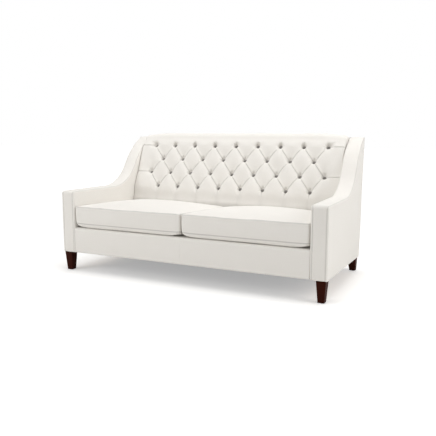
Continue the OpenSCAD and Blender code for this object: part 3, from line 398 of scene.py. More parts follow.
def arm_path():
    """The arm's outline from the side: up its front, round the nose, level, up the
    swoop, straight, over the crest to the rear corner and a little down the back."""
    swoop = np.array([LEVEL_END, ARM_H + SWOOP_R])
    turn = np.array([np.sin(SWOOP_SLOPE), -np.cos(SWOOP_SLOPE)])
    climb = np.array([np.cos(SWOOP_SLOPE), np.sin(SWOOP_SLOPE)])
    swoop_end = swoop + SWOOP_R * turn
    across = np.array([REAR_Y, CORNER_Z]) - swoop_end - CREST_R * turn
    reach = across @ climb
    climb_l = reach - np.sqrt(reach ** 2 - across @ across + CREST_R ** 2)
    crest = swoop_end + climb * climb_l + CREST_R * turn
    corner = np.arctan2(CORNER_Z - crest[1], REAR_Y - crest[0])
    front = np.array([[FRONT_Y, BASE_Z], [FRONT_Y, ARM_H - NOSE_R]])
    nose = arc((FRONT_Y + NOSE_R, ARM_H - NOSE_R), NOSE_R, np.pi, np.pi / 2)
    rise = arc(swoop, SWOOP_R, -np.pi / 2, SWOOP_SLOPE - np.pi / 2, 60)
    over = arc(crest, CREST_R, SWOOP_SLOPE + np.pi / 2, corner, 60)
    tuck = np.array([[REAR_Y - 0.003, CORNER_Z - 0.004], [REAR_Y - 0.004, CORNER_Z - 0.022]])
    return evenly(np.concatenate([front, nose, rise, over, tuck]), PATH_STEP)


ARM_PATH = arm_path()
ARM_RUN = run_length(ARM_PATH)
ARM_OUT = facing_out(ARM_PATH)


def arm_section(a):
    """The arm's cross-section by arc length from its middle: flat, round the edge,
    then down the side. Gives the distance across, the height, and the direction
    that faces out, as an across and an up share."""
    flat = ARM_W / 2 - EDGE_R
    turn = np.clip((np.abs(a) - flat) / EDGE_R, 0, np.pi / 2)
    down = np.maximum(np.abs(a) - flat - EDGE_R * np.pi / 2, 0)
    x = np.minimum(np.abs(a), flat) + EDGE_R * np.sin(turn)
    n = -EDGE_R * (1 - np.cos(turn)) - down
    return np.sign(a) * x, n, np.sign(a) * np.sin(turn), np.cos(turn)


def seam_arc():
    """Where the seam runs along the path, by arc length from the arm's middle: in
    from the edge up the front, on the edge itself along the top."""
    on_edge = ease((ARM_RUN - (ARM_H - BASE_Z) + 0.03) / 0.06)
    front = ARM_W / 2 - SEAM_IN
    edge = ARM_W / 2 - EDGE_R + EDGE_R * np.pi / 4
    return blend(front, edge, on_edge)


def arm_points(a, sink):
    """Points of the right arm's surface at arc lengths across its path, sunk along
    the direction that faces out."""
    x, n, side, up = arm_section(a)
    n = n - sink * up
    x = x - sink * side
    path = ARM_PATH[:, None, :]
    out = ARM_OUT[:, None, :]
    y = path[..., 0] + n * out[..., 0]
    z = path[..., 1] + n * out[..., 1]
    z = np.where(ARM_RUN[:, None] < 0.02, np.maximum(z, BASE_Z), z)
    return np.stack([outer_x(y) - ARM_W / 2 + x, y, z], -1)


def grid_faces(rows, cols):
    """Four-sided faces of a grid of points, numbered row by row."""
    a = np.arange(rows - 1)[:, None] * cols + np.arange(cols - 1)[None, :]
    return np.stack([a, a + 1, a + cols + 1, a + cols], -1).reshape(-1, 4)


def grid_uv(points):
    """Cloth coordinates in metres: distance along the middle row and column."""
    rows, cols = points.shape[:2]
    u = run_length(points[rows // 2])
    v = run_length(points[:, cols // 2])
    return gridded(u[None, :], v[:, None])


def set_painted_shading(mesh, painted_shading):
    """Each point's painted shading: above 0 painted shade, in a crease, pit, seam or gap; below 0
    painted highlight, on a lip.
    """
    shade = mesh.attributes.new("painted_shading", "FLOAT", "POINT")
    shade.data.foreach_set("value", painted_shading.astype(np.float32).ravel())


def make_piece(name, points, faces, uv, painted_shading=None, sharp=None):
    """A mesh object from points, faces and cloth coordinates, with a painted shading value
    at each point where it has them. Sharp faces are shaded flat."""
    mesh = bpy.data.meshes.new(name)
    mesh.from_pydata(points.reshape(-1, 3).tolist(), [], [list(f) for f in faces])
    corners = np.empty(len(mesh.loops), dtype=np.int32)
    mesh.loops.foreach_get("vertex_index", corners)
    layer = mesh.uv_layers.new(name="cloth")
    layer.data.foreach_set("uv", uv.reshape(-1, 2)[corners].astype(np.float32).ravel())
    smooth = np.ones(len(mesh.polygons), dtype=bool)
    if sharp is not None:
        smooth[sharp] = False
    mesh.polygons.foreach_set("use_smooth", smooth)
    if painted_shading is not None:
        set_painted_shading(mesh, painted_shading)
    mesh.validate()
    piece = bpy.data.objects.new(name, mesh)
    bpy.context.collection.objects.link(piece)
    return piece


def make_sheet_grid(name, points, flip=False, painted_shading=None, uv=None):
    """A piece from one grid of points, with its own cloth coordinates or even ones."""
    faces = grid_faces(*points.shape[:2])
    if flip:
        faces = faces[:, ::-1]
    return make_piece(name, points, faces, grid_uv(points) if uv is None else uv, painted_shading)


def make_weave():
    """Plain weave: each crossing of warp and weft is a bump, the product of two sine
    waves, and long thin noise makes some threads thicker and lighter."""
    group, given, result = new_group(
        "plain_weave",
        [("Vector", "v", None), ("Pitch", "f", 0.001), ("Slub", "f", 0.5),
         ("Light", "c", (0.8, 0.8, 0.8, 1)), ("Dark", "c", (0.6, 0.6, 0.6, 1)),
         ("Rough", "f", 0.9)],
        [("Color", "c"), ("Roughness", "f"), ("Height", "f")])
    turns = maths(group, "DIVIDE", np.pi, given["Pitch"])
    across = add(group, "ShaderNodeSeparateXYZ", {0: given["Vector"]}).outputs
    warp, weft = (
        maths(group, "ABSOLUTE", maths(group, "SINE", maths(group, "MULTIPLY", across[k], turns)))
        for k in (0, 1))
    crossing = maths(group, "MULTIPLY", warp, weft)
    slubs = [noise(group, given["Vector"], 1.0, 2.0, stretch)
             for stretch in ((900.0, 22.0, 1.0), (22.0, 900.0, 1.0))]
    threads = maths(group, "MULTIPLY", maths(group, "ADD", *slubs), 0.5)
    cloud = noise(group, given["Vector"], 7.0, 3.0)
    varied = maths(
        group, "MULTIPLY_ADD", maths(group, "SUBTRACT", threads, 0.5), given["Slub"],
        maths(group, "MULTIPLY_ADD", cloud, 0.3, 0.25))
    share = maths(group, "MULTIPLY_ADD", crossing, 0.35, varied, clamp=True)
    put_out(group, result, Color=mixed(group, share, given["Dark"], given["Light"]),
            Roughness=maths(group, "MULTIPLY_ADD", crossing, -0.1, given["Rough"]),
            Height=maths(group, "MULTIPLY_ADD", threads, 0.6, crossing))
    return group


weave = make_weave()


def make_cloth(name, light, dark, pitch, painted_shade_tone=None, painted_highlight_tone=None, relief=0.0003):
    """Woven cloth on the piece's own cloth coordinates. Where the piece's painted shading is
    above 0 it has painted shade, for a crease, pit, seam or gap, and below 0 a painted highlight,
    for a lip."""
    material, tree = new_material(name)
    flat = add(tree, "ShaderNodeUVMap", uv_map="cloth").outputs[0]
    cloth = placed(tree, weave, {
        "Vector": flat, "Pitch": pitch, "Slub": 0.9, "Rough": 0.92,
        "Light": colour(light), "Dark": colour(dark)})
    tone = cloth["Color"]
    if painted_shade_tone is not None:
        painted_shading = add(tree, "ShaderNodeAttribute", attribute_name="painted_shading").outputs["Fac"]
        # Painted highlight where the painted shading is below 0, painted shade where it is above 0
        crest = maths(tree, "MULTIPLY", painted_shading, -1.0, clamp=True)
        tone = mixed(tree, crest, tone, colour(painted_highlight_tone))
        tone = mixed(tree, painted_shading, tone, colour(painted_shade_tone))
    surface(tree, {"Base Color": tone, "Roughness": cloth["Roughness"]},
            cloth["Height"], relief=relief, strength=0.5,
            Sheen_Weight=0.12, Sheen_Roughness=0.5, Specular_IOR_Level=0.2)
    return material


linen = make_cloth("natural_linen", LINEN, LINEN_SHADE, THREAD, LINEN_PAINTED_SHADE, LINEN_PAINTED_HIGHLIGHT)


def dress(piece, material, body, slot, *replaced):
    """A finished piece takes its material, its body and the CAD nodes it stands for."""
    piece.data.materials.append(material)
    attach(piece, body)
    if replaced:
        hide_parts(*replaced)
    return piece


def arm_band(side, hand):
    """The band's grid: rows along the path, columns from seam to seam, crowned in the
    middle and drawn down along both seams, with painted shade along both seams."""
    share = np.sin(np.linspace(-1, 1, BAND_COLUMNS) * np.pi / 2)[None, :]
    seam = seam_arc()[:, None]
    a = seam * share
    uneven = ripple(ARM_RUN[:, None], a, seed=11 + side, size=0.11, depth=0.0006)
    crown = BAND_CROWN * (1 - share ** 2) + uneven
    low = BAND_FOOT * bell(ARM_RUN[:, None], BAND_FOOT)
    in_seam = bell(seam - np.abs(a), SEAM_W)
    points = arm_points(a, SEAM_DEPTH * in_seam - crown * (1 - share ** 8) + low)
    points[..., 0] *= side
    return make_sheet_grid(f"{hand}_arm_band", points, side < 0, PAINTED_SEAM_SHADE * in_seam)


def arm_side(side, hand, where):
    """A side panel's grid, on the outer or the inner side of an arm: from the seam
    round the edge, then on straight lines to the underside."""
    face = 1 if where == "outer" else -1
    seam = seam_arc()[:, None]
    last = np.maximum(ARM_W / 2 - EDGE_R + EDGE_R * np.pi / 2 + RIM_DOWN, seam + RIM_LEAST)
    a = seam + (last - seam) * np.linspace(0, 1, RIM_ROWS)[None, :]
    in_seam = bell(a - seam, SEAM_W)
    rim = arm_points(face * a, SEAM_DEPTH * in_seam + ripple(
        ARM_RUN[:, None], a, seed=21 + side, size=0.2, depth=0.0003))
    start = rim[:, -1, :]
    share = ARM_RUN / ARM_RUN[-1]
    y = blend(start[0, 1], FOOT_Y, share)
    level = np.stack([outer_x(y) - (ARM_W if face < 0 else 0), y, low_z(y)], 1)
    t = np.linspace(0, 1, PANEL_ROWS)[1:, None, None]
    panel = start[None] + (level - start)[None] * t
    soft = np.sin(np.pi * np.clip(t[..., 0], 0, 1)) ** 0.6
    uneven = ripple(panel[..., 1], panel[..., 2],
                    seed=31 + side + 2 * face, size=0.3, depth=0.0007)
    panel[..., 0] += face * soft * (PANEL_BULGE + uneven)
    panel[-1, :, 0] -= face * PANEL_TURN_IN
    points = np.concatenate([rim.transpose(1, 0, 2), panel], 0)
    points[..., 0] *= side
    # Painted shade along the seam at the top of the rim
    painted_shading = np.zeros(points.shape[:2])
    painted_shading[:RIM_ROWS] = PAINTED_SEAM_SHADE * in_seam.T
    return make_sheet_grid(
        f"{hand}_arm_{where}_panel", points, side * face > 0, painted_shading, points[..., 1:3])


for side, hand in SIDES:
    band = dress(arm_band(side, hand), linen, "sofa", "linen",
                 f"{hand}_arm_top_band", f"{hand}_arm_front_panel", f"{hand}_arm_foam")
    outer = dress(arm_side(side, hand, "outer"), linen, "sofa", "linen",
                  f"{hand}_arm_outer_cover")
    inner = dress(arm_side(side, hand, "inner"), linen, "sofa", "linen",
                  f"{hand}_arm_inner_cover")

# Front rail and seat deck
# The front rail's linen is padded, turned under the rail, and taken back over its
# rounded top to the deck. The deck is felt over the springs, in decking cloth.

DECK_Z = 0.293
RAIL_EDGE_R = 0.016
RAIL_LAP = 0.0008
RAIL_FOOT_R = 0.004
RAIL_UNDER = 0.03
RAIL_OVER = 0.075
RAIL_BULGE = 0.0022
RAIL_BULGE_AT = 0.11
RAIL_BULGE_W = 0.06
RAIL_END = 0.002
RAIL_SEAM_DEPTH = 0.0014
RAIL_SEAM_W = 0.0022
DECK_BACK_Y = 0.2518
DECK_T = 0.0195
DECK_DIP = 0.0018
CALICO = (226, 221, 210)
CALICO_SHADE = (208, 202, 190)
CALICO_THREAD = 0.0008


def rail_points():
    """The rail's grid: a profile from under the rail, up its face, over the edge and
    back on the deck, carried across. It bulges a little between its ends and has a
    seam in the middle."""
    corner = (FRONT_Y + RAIL_EDGE_R, DECK_Z - RAIL_EDGE_R)
    foot = FRONT_Y + RAIL_FOOT_R
    under_z = BASE_Z - 0.0002
    profile = evenly(np.concatenate([
        [[FRONT_Y + RAIL_UNDER, under_z], [foot, under_z]],
        arc((foot, BASE_Z + RAIL_FOOT_R), RAIL_FOOT_R, -np.pi / 2, -np.pi, 6),
        arc(corner, RAIL_EDGE_R, np.pi, np.pi / 2),
        [[FRONT_Y + RAIL_OVER, DECK_Z]]]), 0.006)
    end = inner_x(FRONT_Y) + RAIL_LAP
    half = np.concatenate([
        np.linspace(0, 0.012, 9), np.linspace(0.02, 0.77, 90), np.linspace(0.775, end, 10)])
    across = mirrored(half)[None, :]
    run = run_length(profile)[:, None]
    front = bell(run - RAIL_BULGE_AT, RAIL_BULGE_W)
    lift = RAIL_BULGE * front * (1 - (across / end) ** 8)
    lift = lift + front * ripple(across, run, seed=41, size=0.28, depth=0.0008)
    lift = lift - RAIL_END * np.exp(-(end - np.abs(across)) / RAIL_END)
    lift = lift - RAIL_SEAM_DEPTH * bell(across, RAIL_SEAM_W)
    place = profile[:, None, :] + lift[..., None] * facing_out(profile)[:, None, :]
    x = across * (inner_x(place[..., 0]) + RAIL_LAP) / end
    return np.stack([x, place[..., 0], place[..., 1]], -1)


rail = dress(make_sheet_grid("front_rail_panel", rail_points()), linen, "sofa", "linen",
             "front_rail_cover", "front_rail_foam")


def bowl(s, t):
    """A shallow bowl over a sheet, for s from -1 to 1 and t from 0 to 1: one less the
    fourth power of the distance from the middle, across times along."""
    return (1 - s ** 4) * (1 - (2 * t - 1) ** 4)


def deck_points():
    """The deck's grid: level, dipping between the springs, with its sides turned
    down all round."""
    s = np.concatenate([[-1], np.linspace(-1, 1, 66), [1]])[None, :]
    t = np.concatenate([[0], np.linspace(0, 1, 40), [1]])[:, None]
    y = blend(FRONT_Y + RAIL_EDGE_R, DECK_BACK_Y, t)
    x = s * (inner_x(y) + RAIL_LAP)
    dip = DECK_DIP * bowl(s, t) * (1 + 0.3 * np.cos(8 * np.pi * s))
    z = DECK_Z - 0.0008 - dip + ripple(x, y, seed=51, size=0.2, depth=0.0003)
    rim = np.zeros(z.shape)
    rim[[0, -1], :] = 1
    rim[:, [0, -1]] = 1
    z = z - rim * DECK_T
    return gridded(x, y, z)


calico = make_cloth("deck_calico", CALICO, CALICO_SHADE, CALICO_THREAD)
deck = dress(make_sheet_grid("seat_deck_cloth", deck_points()), calico, "sofa", "felt",
             "seat_deck")

# Dust cloth
# Thin black cloth stapled under the seat rails, which hides the springs from
# below and hangs a few millimetres between its staples.

BLACK_CLOTH = (44, 44, 46)
BLACK_CLOTH_SHADE = (30, 30, 32)
BLACK_THREAD = 0.0007
DUST_BACK_Y = 0.397
DUST_SAG = 0.004


def dust_points():
    """The cloth's grid on the pitched underside, sagging as a shallow bowl."""
    s = np.linspace(-1, 1, 70)[None, :]
    t = np.linspace(0, 1, 40)[:, None]
    y = blend(FRONT_Y + 0.004, DUST_BACK_Y, t)
    x = s * (inner_x(y) - 0.001)
    sag = DUST_SAG * bowl(s, t) + ripple(x, y, seed=61, size=0.12, depth=0.0006)
    z = low_z(y) + 0.0012 - sag
    return gridded(x, y, z)


dust = make_sheet_grid("underside_dust_cloth", dust_points(), flip=True)
cambric = make_cloth("dust_cambric", BLACK_CLOTH, BLACK_CLOTH_SHADE, BLACK_THREAD)
dress(dust, cambric, "sofa", "dust_cloth", "dust_cover")

# Back straps and twine
# Four elastic straps behind the foam, stapled to the side posts, and the waxed
# twine that draws each button in against a washer.

# The back's lean, from the core under its top roll down to the cushions' tops
LEAN = np.radians(22.5)
LEAN_IN = np.array([-np.cos(LEAN), np.sin(LEAN)])
LEAN_UP = np.array([np.sin(LEAN), np.cos(LEAN)])
TOP_Z = 0.912
ROLL_R = 0.04375
ROLL_PUFF = 0.022
CORE_R = ROLL_R - ROLL_PUFF
ROLL_CENTRE = np.array([REAR_Y - ROLL_R, TOP_Z - ROLL_R])
LEAN_TOP = ROLL_CENTRE + CORE_R * LEAN_IN
SEAT_TOP_Z = 0.432
LEAN_L = (LEAN_TOP[1] - SEAT_TOP_Z) / np.cos(LEAN)

# The buttons: rows down the lean, steps across to the outer ones, and their room
ROWS = 4
FIRST_ROW_Z = 0.812
FIRST_ROW = (LEAN_TOP[1] - FIRST_ROW_Z) / np.cos(LEAN)
ROW = 0.2174 * LEAN_L
EDGE_U = 4
EDGE_ROOM = 0.1132
PITCH = (inner_x(REAR_Y) - EDGE_ROOM) / EDGE_U

STRAP_W = 0.05
STRAP_X = 0.747
STRAP_T = 0.0012
STRAP_DEPTH = 0.04475
STRAP_RIB = 0.0024
STRAP_TONE = (96, 88, 78)
STRAP_SHADE = (66, 60, 52)
TWINE = (198, 186, 160)
TWINE_SHADE = (150, 136, 108)

webbing = make_cloth("elastic_webbing", STRAP_TONE, STRAP_SHADE, STRAP_RIB, relief=0.0006)
for row in range(ROWS):
    middle = FIRST_ROW + (row + 0.5) * ROW
    down = np.linspace(middle + STRAP_W / 2, middle - STRAP_W / 2, 5)[:, None]
    across = np.linspace(-STRAP_X, STRAP_X, 40)[None, :]
    give = 0.0006 * (1 - (across / STRAP_X) ** 2)
    line = LEAN_TOP - LEAN_UP * down[..., None] - LEAN_IN * (STRAP_DEPTH + give)[..., None]
    strap = make_sheet_grid(
        f"back_strap_{row + 1}", gridded(across, line[..., 0], line[..., 1]))
    wall = strap.modifiers.new("thickness", "SOLIDIFY")
    wall.thickness = STRAP_T
    wall.offset = 0
    if row == 0:
        dress(strap, webbing, "sofa", "webbing", "back_webbing")
    else:
        dress(strap, webbing, "sofa", "webbing")

# Waxed cotton twine, its strands a fine noise drawn out along the cord
finish(make_marked("waxed_twine", TWINE_SHADE, TWINE, (900.0, 3.0, (1.0, 0.2, 1.0)), 0.6, 0.2,
                   relief=0.0004), "button_ties")

# Tufted back
# One padded panel of linen, drawn in by 34 covered buttons in four staggered rows.
# Its slack is folded into diamond pleats, and it runs on over the top roll.

# The grid's steps to a row and to half a button step, and the distance between two
# neighbouring pleats that run the same way
STEPS = 26
PLEATS_APART = 0.1304

# Tufts, and the groove, lip and crest of a pleat, with painted shade in the groove and a painted
# highlight on the crest
RIDGE = 0.028
RISE_POWER = 0.42
FALL_POWER = 0.9
PLEAT_GROOVE = 0.0024
GROOVE_AT = -0.001
GROOVE_W = 0.0028
PAINTED_GROOVE_SHADE = 0.3
PLEAT_LIP = 0.0030
LIP_AT = 0.004
LIP_W_ABOVE = 0.0085
LIP_W_BELOW = 0.003
CREST_AT = 0.0075
CREST_W = 0.004
PAINTED_CREST_HIGHLIGHT = 0.9

# Where the tufts end: in button steps beside the arms, in rows above and below
SIDE_RUN = 0.3
ROLL_RUN = 0.66
SEAT_RUN = 0.9
OPEN_TOP = 0.42
OPEN_LOW = 0.5
OPEN_SHARE = 0.94
SIDE_SHARE = 0.9

# Pits at the buttons, with their gathers, the shade painted in and above them, and the highlight
# painted on the lip under them
GATHER = 0.0011
GATHER_AT = 0.022
GATHER_W = 0.010
PIT_R = 0.0085
PIT_SLOPE = 0.0110
PIT_ABOVE = 0.58
PIT_BELOW = 1.25
PAINTED_FAN_SHADES = (0.34, 0.56)
FAN_LENGTHS = (0.030, 0.038)
FAN_W = 0.006
FAN_SPREAD = 0.42
PAINTED_LIP_HIGHLIGHT = 0.9
UNDER_W = 0.013
UNDER_AT = 0.020
UNDER_H = 0.005
HOLE_SLOPE = 0.006

# The top roll, the rounded edges beside the arms, and the flutes above the seat, with painted
# shade where the edges meet the arms, in the flutes and low down
ROLL_ROW = -0.7
ROLL_FADE = 0.065
SIDE_SOFT = 0.012
ROLL_SOFT = 0.028
EDGE_DEPTH = 0.012
PAINTED_EDGE_SHADE = 0.7
DROOP = 0.012
DROOP_RUN = 0.18
LOW_PUFF = 0.014
FLUTE = 0.003
FLUTE_W = 0.020
PAINTED_FLUTE_SHADE = 0.05
PAINTED_LOW_SHADE = 0.06
FOAM_BACK = 0.044


def packed(f):
    """Steps drawn closer together at whole numbers, where the buttons are."""
    return f - 0.45 * np.sin(2 * np.pi * f) / (2 * np.pi)


def pleat_rise(share):
    """Height of a pleat from its upper button, 0, to its lower one, 1: it rises
    steeply and falls slowly, as one power of the share times another of the rest."""
    top = RISE_POWER / (RISE_POWER + FALL_POWER)
    peak = top ** RISE_POWER * (1 - top) ** FALL_POWER
    c = np.clip(share, 0, 1)
    return c ** RISE_POWER * (1 - c) ** FALL_POWER / peak


def pleat_fold(d):
    """A pleat across its line, by the distance above it: the upper tuft swells to a
    lip, a bell curve that is wide above and narrow below, over a narrow groove.
    Gives its height and its painted shading: painted shade in the groove, and a painted highlight
    on the crest above the lip."""
    lip = bell(d - LIP_AT, np.where(d > LIP_AT, LIP_W_ABOVE, LIP_W_BELOW))
    groove = bell(d - GROOVE_AT, GROOVE_W)
    # Painted shade in the groove, less a painted highlight on the crest
    tone = PAINTED_GROOVE_SHADE * groove - PAINTED_CREST_HIGHLIGHT * bell(d - CREST_AT, CREST_W)
    return PLEAT_LIP * lip - PLEAT_GROOVE * groove, tone


def tuft_shape(x, q):
    """Height of the tufts over the buttons' plane, and the painted shading at each point:
    painted shade in the pleats, pits, flutes and lower stretch, and painted highlight on
    the lips. Across is counted in button steps and down in rows. Along the two families
    of pleats, p and m are whole numbers, and both are whole at a button. Between
    them the height is the cube root of the sum of the two pleats' cubes."""
    u = x / PITCH
    side = ease((np.abs(u) - EDGE_U) / SIDE_RUN)
    above = ease(-q / ROLL_RUN)
    below = ease((q - ROWS + 1) / SEAT_RUN)
    open_up = ease(-q / OPEN_TOP)
    open_low = ease((q - ROWS + 1) / OPEN_LOW)
    cu = np.clip(u, -EDGE_U, EDGE_U)
    cq = np.clip(q, 0, ROWS - 1)
    p, m = cu + cq / 2, cu - cq / 2
    near_p, near_m = np.round(p), np.round(m)
    down_p, down_m = p - np.floor(p), np.ceil(m) - m
    full = RIDGE * np.cbrt(2)
    rest = np.maximum(np.maximum(SIDE_SHARE * side, open_up), open_low)
    both = np.cbrt(pleat_rise(down_p) ** 3 + pleat_rise(down_m) ** 3)
    tuft = blend(RIDGE * both, full * OPEN_SHARE, rest)
    # Pleats: diagonal between the buttons, level from the outer buttons to the arms, each with
    # painted shade in its groove and a painted highlight on its crest
    fade = (1 - side) * (1 - open_up) ** 3 * (1 - open_low) ** 3
    level = 2 * np.round(np.clip(q, 0, 2) / 2)
    strong_p, strong_m = (
        fade * np.sqrt(np.clip(4 * down * (1 - down), 0, 1)) for down in (down_m, down_p))
    painted_shading = np.zeros(tuft.shape)
    for d, strength in (((near_p - p) * PLEATS_APART, strong_p),
                        ((m - near_m) * PLEATS_APART, strong_m),
                        ((level - q) * ROW, side)):
        height, tone = pleat_fold(d)
        tuft = tuft + strength * height
        painted_shading = painted_shading + strength * tone
    # Buttons: a funnel, long above the button and short below it, with small gathers
    bu, bq = (near_p + near_m) / 2, near_p - near_m
    inside = (np.abs(bu) <= EDGE_U + 0.01) & (bq > -0.5) & (bq < ROWS - 0.5)
    dx, dv = (u - bu) * PITCH, (q - bq) * ROW
    r = np.where(inside, np.hypot(dx, dv), 1.0)
    gathers = np.cos(9 * np.arctan2(dv, dx) + 5 * bu + 3 * bq) * bell(r - GATHER_AT, GATHER_W)
    drawn = np.where(dv < 0, PIT_ABOVE * dv, PIT_BELOW * dv)
    pit = np.where(inside, np.hypot(dx, drawn), 1.0)
    tuft = (tuft + GATHER * gathers) * ease((pit - PIT_R) / PIT_SLOPE)
    # Painted shade in a fan over each button and in the dark hole itself, and a painted highlight
    # on the light lip under it
    lower = ease(bq)
    painted_fan_shade = blend(*PAINTED_FAN_SHADES, lower) * bell(dx, FAN_W - FAN_SPREAD * np.minimum(dv, 0))
    painted_fan_shade = painted_fan_shade * np.clip(1 + dv / blend(*FAN_LENGTHS, lower), 0, 1) * (dv < 0)
    painted_lip_highlight = PAINTED_LIP_HIGHLIGHT * bell(dx, UNDER_W) * bell(dv - UNDER_AT, UNDER_H)
    painted_hole_shade = 1 - ease((r - PIT_R) / HOLE_SLOPE)
    painted_shading = painted_shading * (1 - inside * np.clip(1.6 * painted_fan_shade, 0, 1))
    painted_shading = np.maximum(painted_shading + inside * (painted_fan_shade - painted_lip_highlight), inside * painted_hole_shade)
    top = blend(tuft, ROLL_PUFF, above)
    # Below the last row the slack runs down to the seat in soft flutes, with painted shade in the
    # flutes and over the stretch down to the seat
    across = (u - 0.5 - np.round(u - 0.5)) * PITCH
    flute = open_low * bell(across, FLUTE_W) * (1 - side)
    painted_shading = painted_shading + PAINTED_FLUTE_SHADE * flute + PAINTED_LOW_SHADE * below * (1 - side)
    low = LOW_PUFF * (0.4 + 0.6 * tuft / full)
    return blend(top, low, below) - FLUTE * flute, painted_shading, above


def droop(x, above, nz):
    """Drop of the crown over the last stretch towards each arm, only where the
    padding faces up."""
    near_arm = ease((np.abs(x) - inner_x(REAR_Y) + DROOP_RUN) / DROOP_RUN)
    return DROOP * above * near_arm * ease(nz)


def back_profile():
    """Rows of the padding from the rear of the roll to the deck: place, direction
    of the padding, row number, how far the row is past the roll, and its step."""
    rows = []
    for a in np.linspace(0, np.pi - LEAN, 26)[:-1]:
        turn = np.array([np.cos(a), np.sin(a)])
        rows.append((*(ROLL_CENTRE + CORE_R * turn), *turn, ROLL_ROW, 0.0, 0))
    for j in range(-STEPS, ROWS * STEPS):
        q = packed(j / STEPS)
        v = FIRST_ROW + q * ROW
        if 0.002 < v < LEAN_L - 0.004:
            rows.append((*(LEAN_TOP - LEAN_UP * v), *LEAN_IN, q, ease(v / ROLL_FADE), j))
    foot = LEAN_TOP - LEAN_UP * LEAN_L
    turn = np.array([-1, np.tan(LEAN / 2)])
    rows.append((*foot, *turn, ROWS, 1.0, 0))
    for z in np.linspace(SEAT_TOP_Z - 0.012, DECK_Z, 14):
        rows.append((foot[0], z, -1.0, 0.0, ROWS, 1.0, 0))
    return np.array(rows)


def split_on_pleats(step, cols):
    """The grid's faces as triangles, each cut along the diagonal that lies nearer to a
    pleat, where the sum or the difference of the two steps is a whole button step."""
    a, b, c, d = grid_faces(len(step), cols).T
    i = np.arange(cols - 1)[None, :] - (cols - 1) // 2
    j = step[:-1]
    total, gap = (i + j + 1) / (2 * STEPS), (i - j) / (2 * STEPS)
    falling = np.abs(gap - np.round(gap)) < np.abs(total - np.round(total))
    falling = falling.ravel()[:, None]
    one = np.where(falling, np.stack([a, b, c], 1), np.stack([a, b, d], 1))
    two = np.where(falling, np.stack([a, c, d], 1), np.stack([b, c, d], 1))
    return np.concatenate([one, two])


def tufted_back():
    """The panel's grid, split along its pleats, with rounded edges beside the arms,
    and closed behind by flat strips against the frame."""
    rows = back_profile()
    y0, z0, ny, nz, q, past, step = (rows[:, k][:, None] for k in range(7))
    last = 2 * STEPS * EDGE_U
    inner = packed(np.arange(-last, last + 1) / STEPS) * PITCH / 2
    soft_x = inner_x(REAR_Y) - SIDE_SOFT
    flats = np.linspace(inner[-1], soft_x, 25)[1:]
    turns = np.sin(np.linspace(0, np.pi / 2, 15))[1:]
    half = np.concatenate([inner[inner >= 0], flats, soft_x + SIDE_SOFT * turns])
    x = mirrored(half)[None, :]
    soft = blend(ROLL_SOFT, SIDE_SOFT, past)
    edge_t = np.clip((np.abs(x) - soft_x - SIDE_SOFT + soft) / soft, 0, 1)
    tuft, painted_shading, above = tuft_shape(x, q + 0 * x)
    on_tufts = ripple(x, q * ROW, seed=71, size=0.13, depth=0.0012)
    on_roll = ripple(x, 0 * x, seed=72, size=0.3, depth=0.0012)
    h = tuft - droop(x, above, nz) + on_tufts * (1 - above)
    h = h + on_roll * above
    foot = blend(ROLL_PUFF - ROLL_SOFT * np.clip(nz, 0, 1), -EDGE_DEPTH, past)
    h = blend(foot, h, np.sqrt(np.clip(1 - edge_t ** blend(2.2, 3, past), 0, 1)))
    # Painted shade where the panel meets the arms
    painted_shading = painted_shading + PAINTED_EDGE_SHADE * past * edge_t ** 4
    y = y0 + h * ny
    z = z0 + h * nz
    room = inner_x(y) + RAIL_LAP
    wide = np.abs(x) - inner[-1]
    stretch = np.where(wide > 0, wide * (room - inner[-1]) / (half[-1] - inner[-1]), wide)
    x = np.sign(x) * (inner[-1] + stretch)
    skin = gridded(x, y, z)
    nr, nc = skin.shape[:2]
    skin_faces = split_on_pleats(step, nc)
    depth = blend(CORE_R * 0.98, FOAM_BACK, past[:, 0])
    deep = rows[:, 0:2] - depth[:, None] * rows[:, 2:4]
    wide = inner_x(deep[:, 0]) + RAIL_LAP
    hidden = np.stack([np.stack([end, *deep.T], 1) for end in (-wide, wide)], 1)
    first = nr * nc
    r = np.arange(nr - 1)
    left, right = first + 2 * r, first + 2 * r + 1
    closing = [
        np.stack([right, left, left + 2, right + 2], 1),
        np.stack([left, r * nc, (r + 1) * nc, left + 2], 1),
        np.stack([r * nc + nc - 1, right, right + 2, (r + 1) * nc + nc - 1], 1)]
    ends = [
        list(range(nc - 1, -1, -1)) + [first, first + 1],
        list(range((nr - 1) * nc, nr * nc)) + [first + 2 * nr - 1, first + 2 * nr - 2]]
    faces = skin_faces.tolist() + np.concatenate(closing).tolist() + ends
    faces = [face[::-1] for face in faces]
    sharp = np.arange(len(skin_faces), len(faces))
    points = np.concatenate([skin.reshape(-1, 3), hidden.reshape(-1, 3)])
    uv = np.zeros((len(points), 2))
    run = run_length(skin[:, nc // 2])
    uv[:first] = gridded(x, run[:, None]).reshape(-1, 2)
    shade = np.zeros(len(points))
    shade[:first] = (painted_shading * np.ones((nr, nc))).ravel()
    return make_piece("tufted_back_panel", points, faces, uv, shade, sharp)


back = tufted_back()
dress(back, linen, "sofa", "linen", "tufted_back", "back_foam")

# Covered buttons
# Thirty-four domed metal buttons under the same linen, each lying at the bottom of
# its tuft on the lean of the back.

BUTTON_R = 0.0100
BUTTON_H = 0.0050
BUTTON_SEAT = 0.0005
# Painted shade: the buttons are coloured most of the way to the painted shade colour, for the
# shade of their pits
PAINTED_BUTTON_SHADE = 0.9


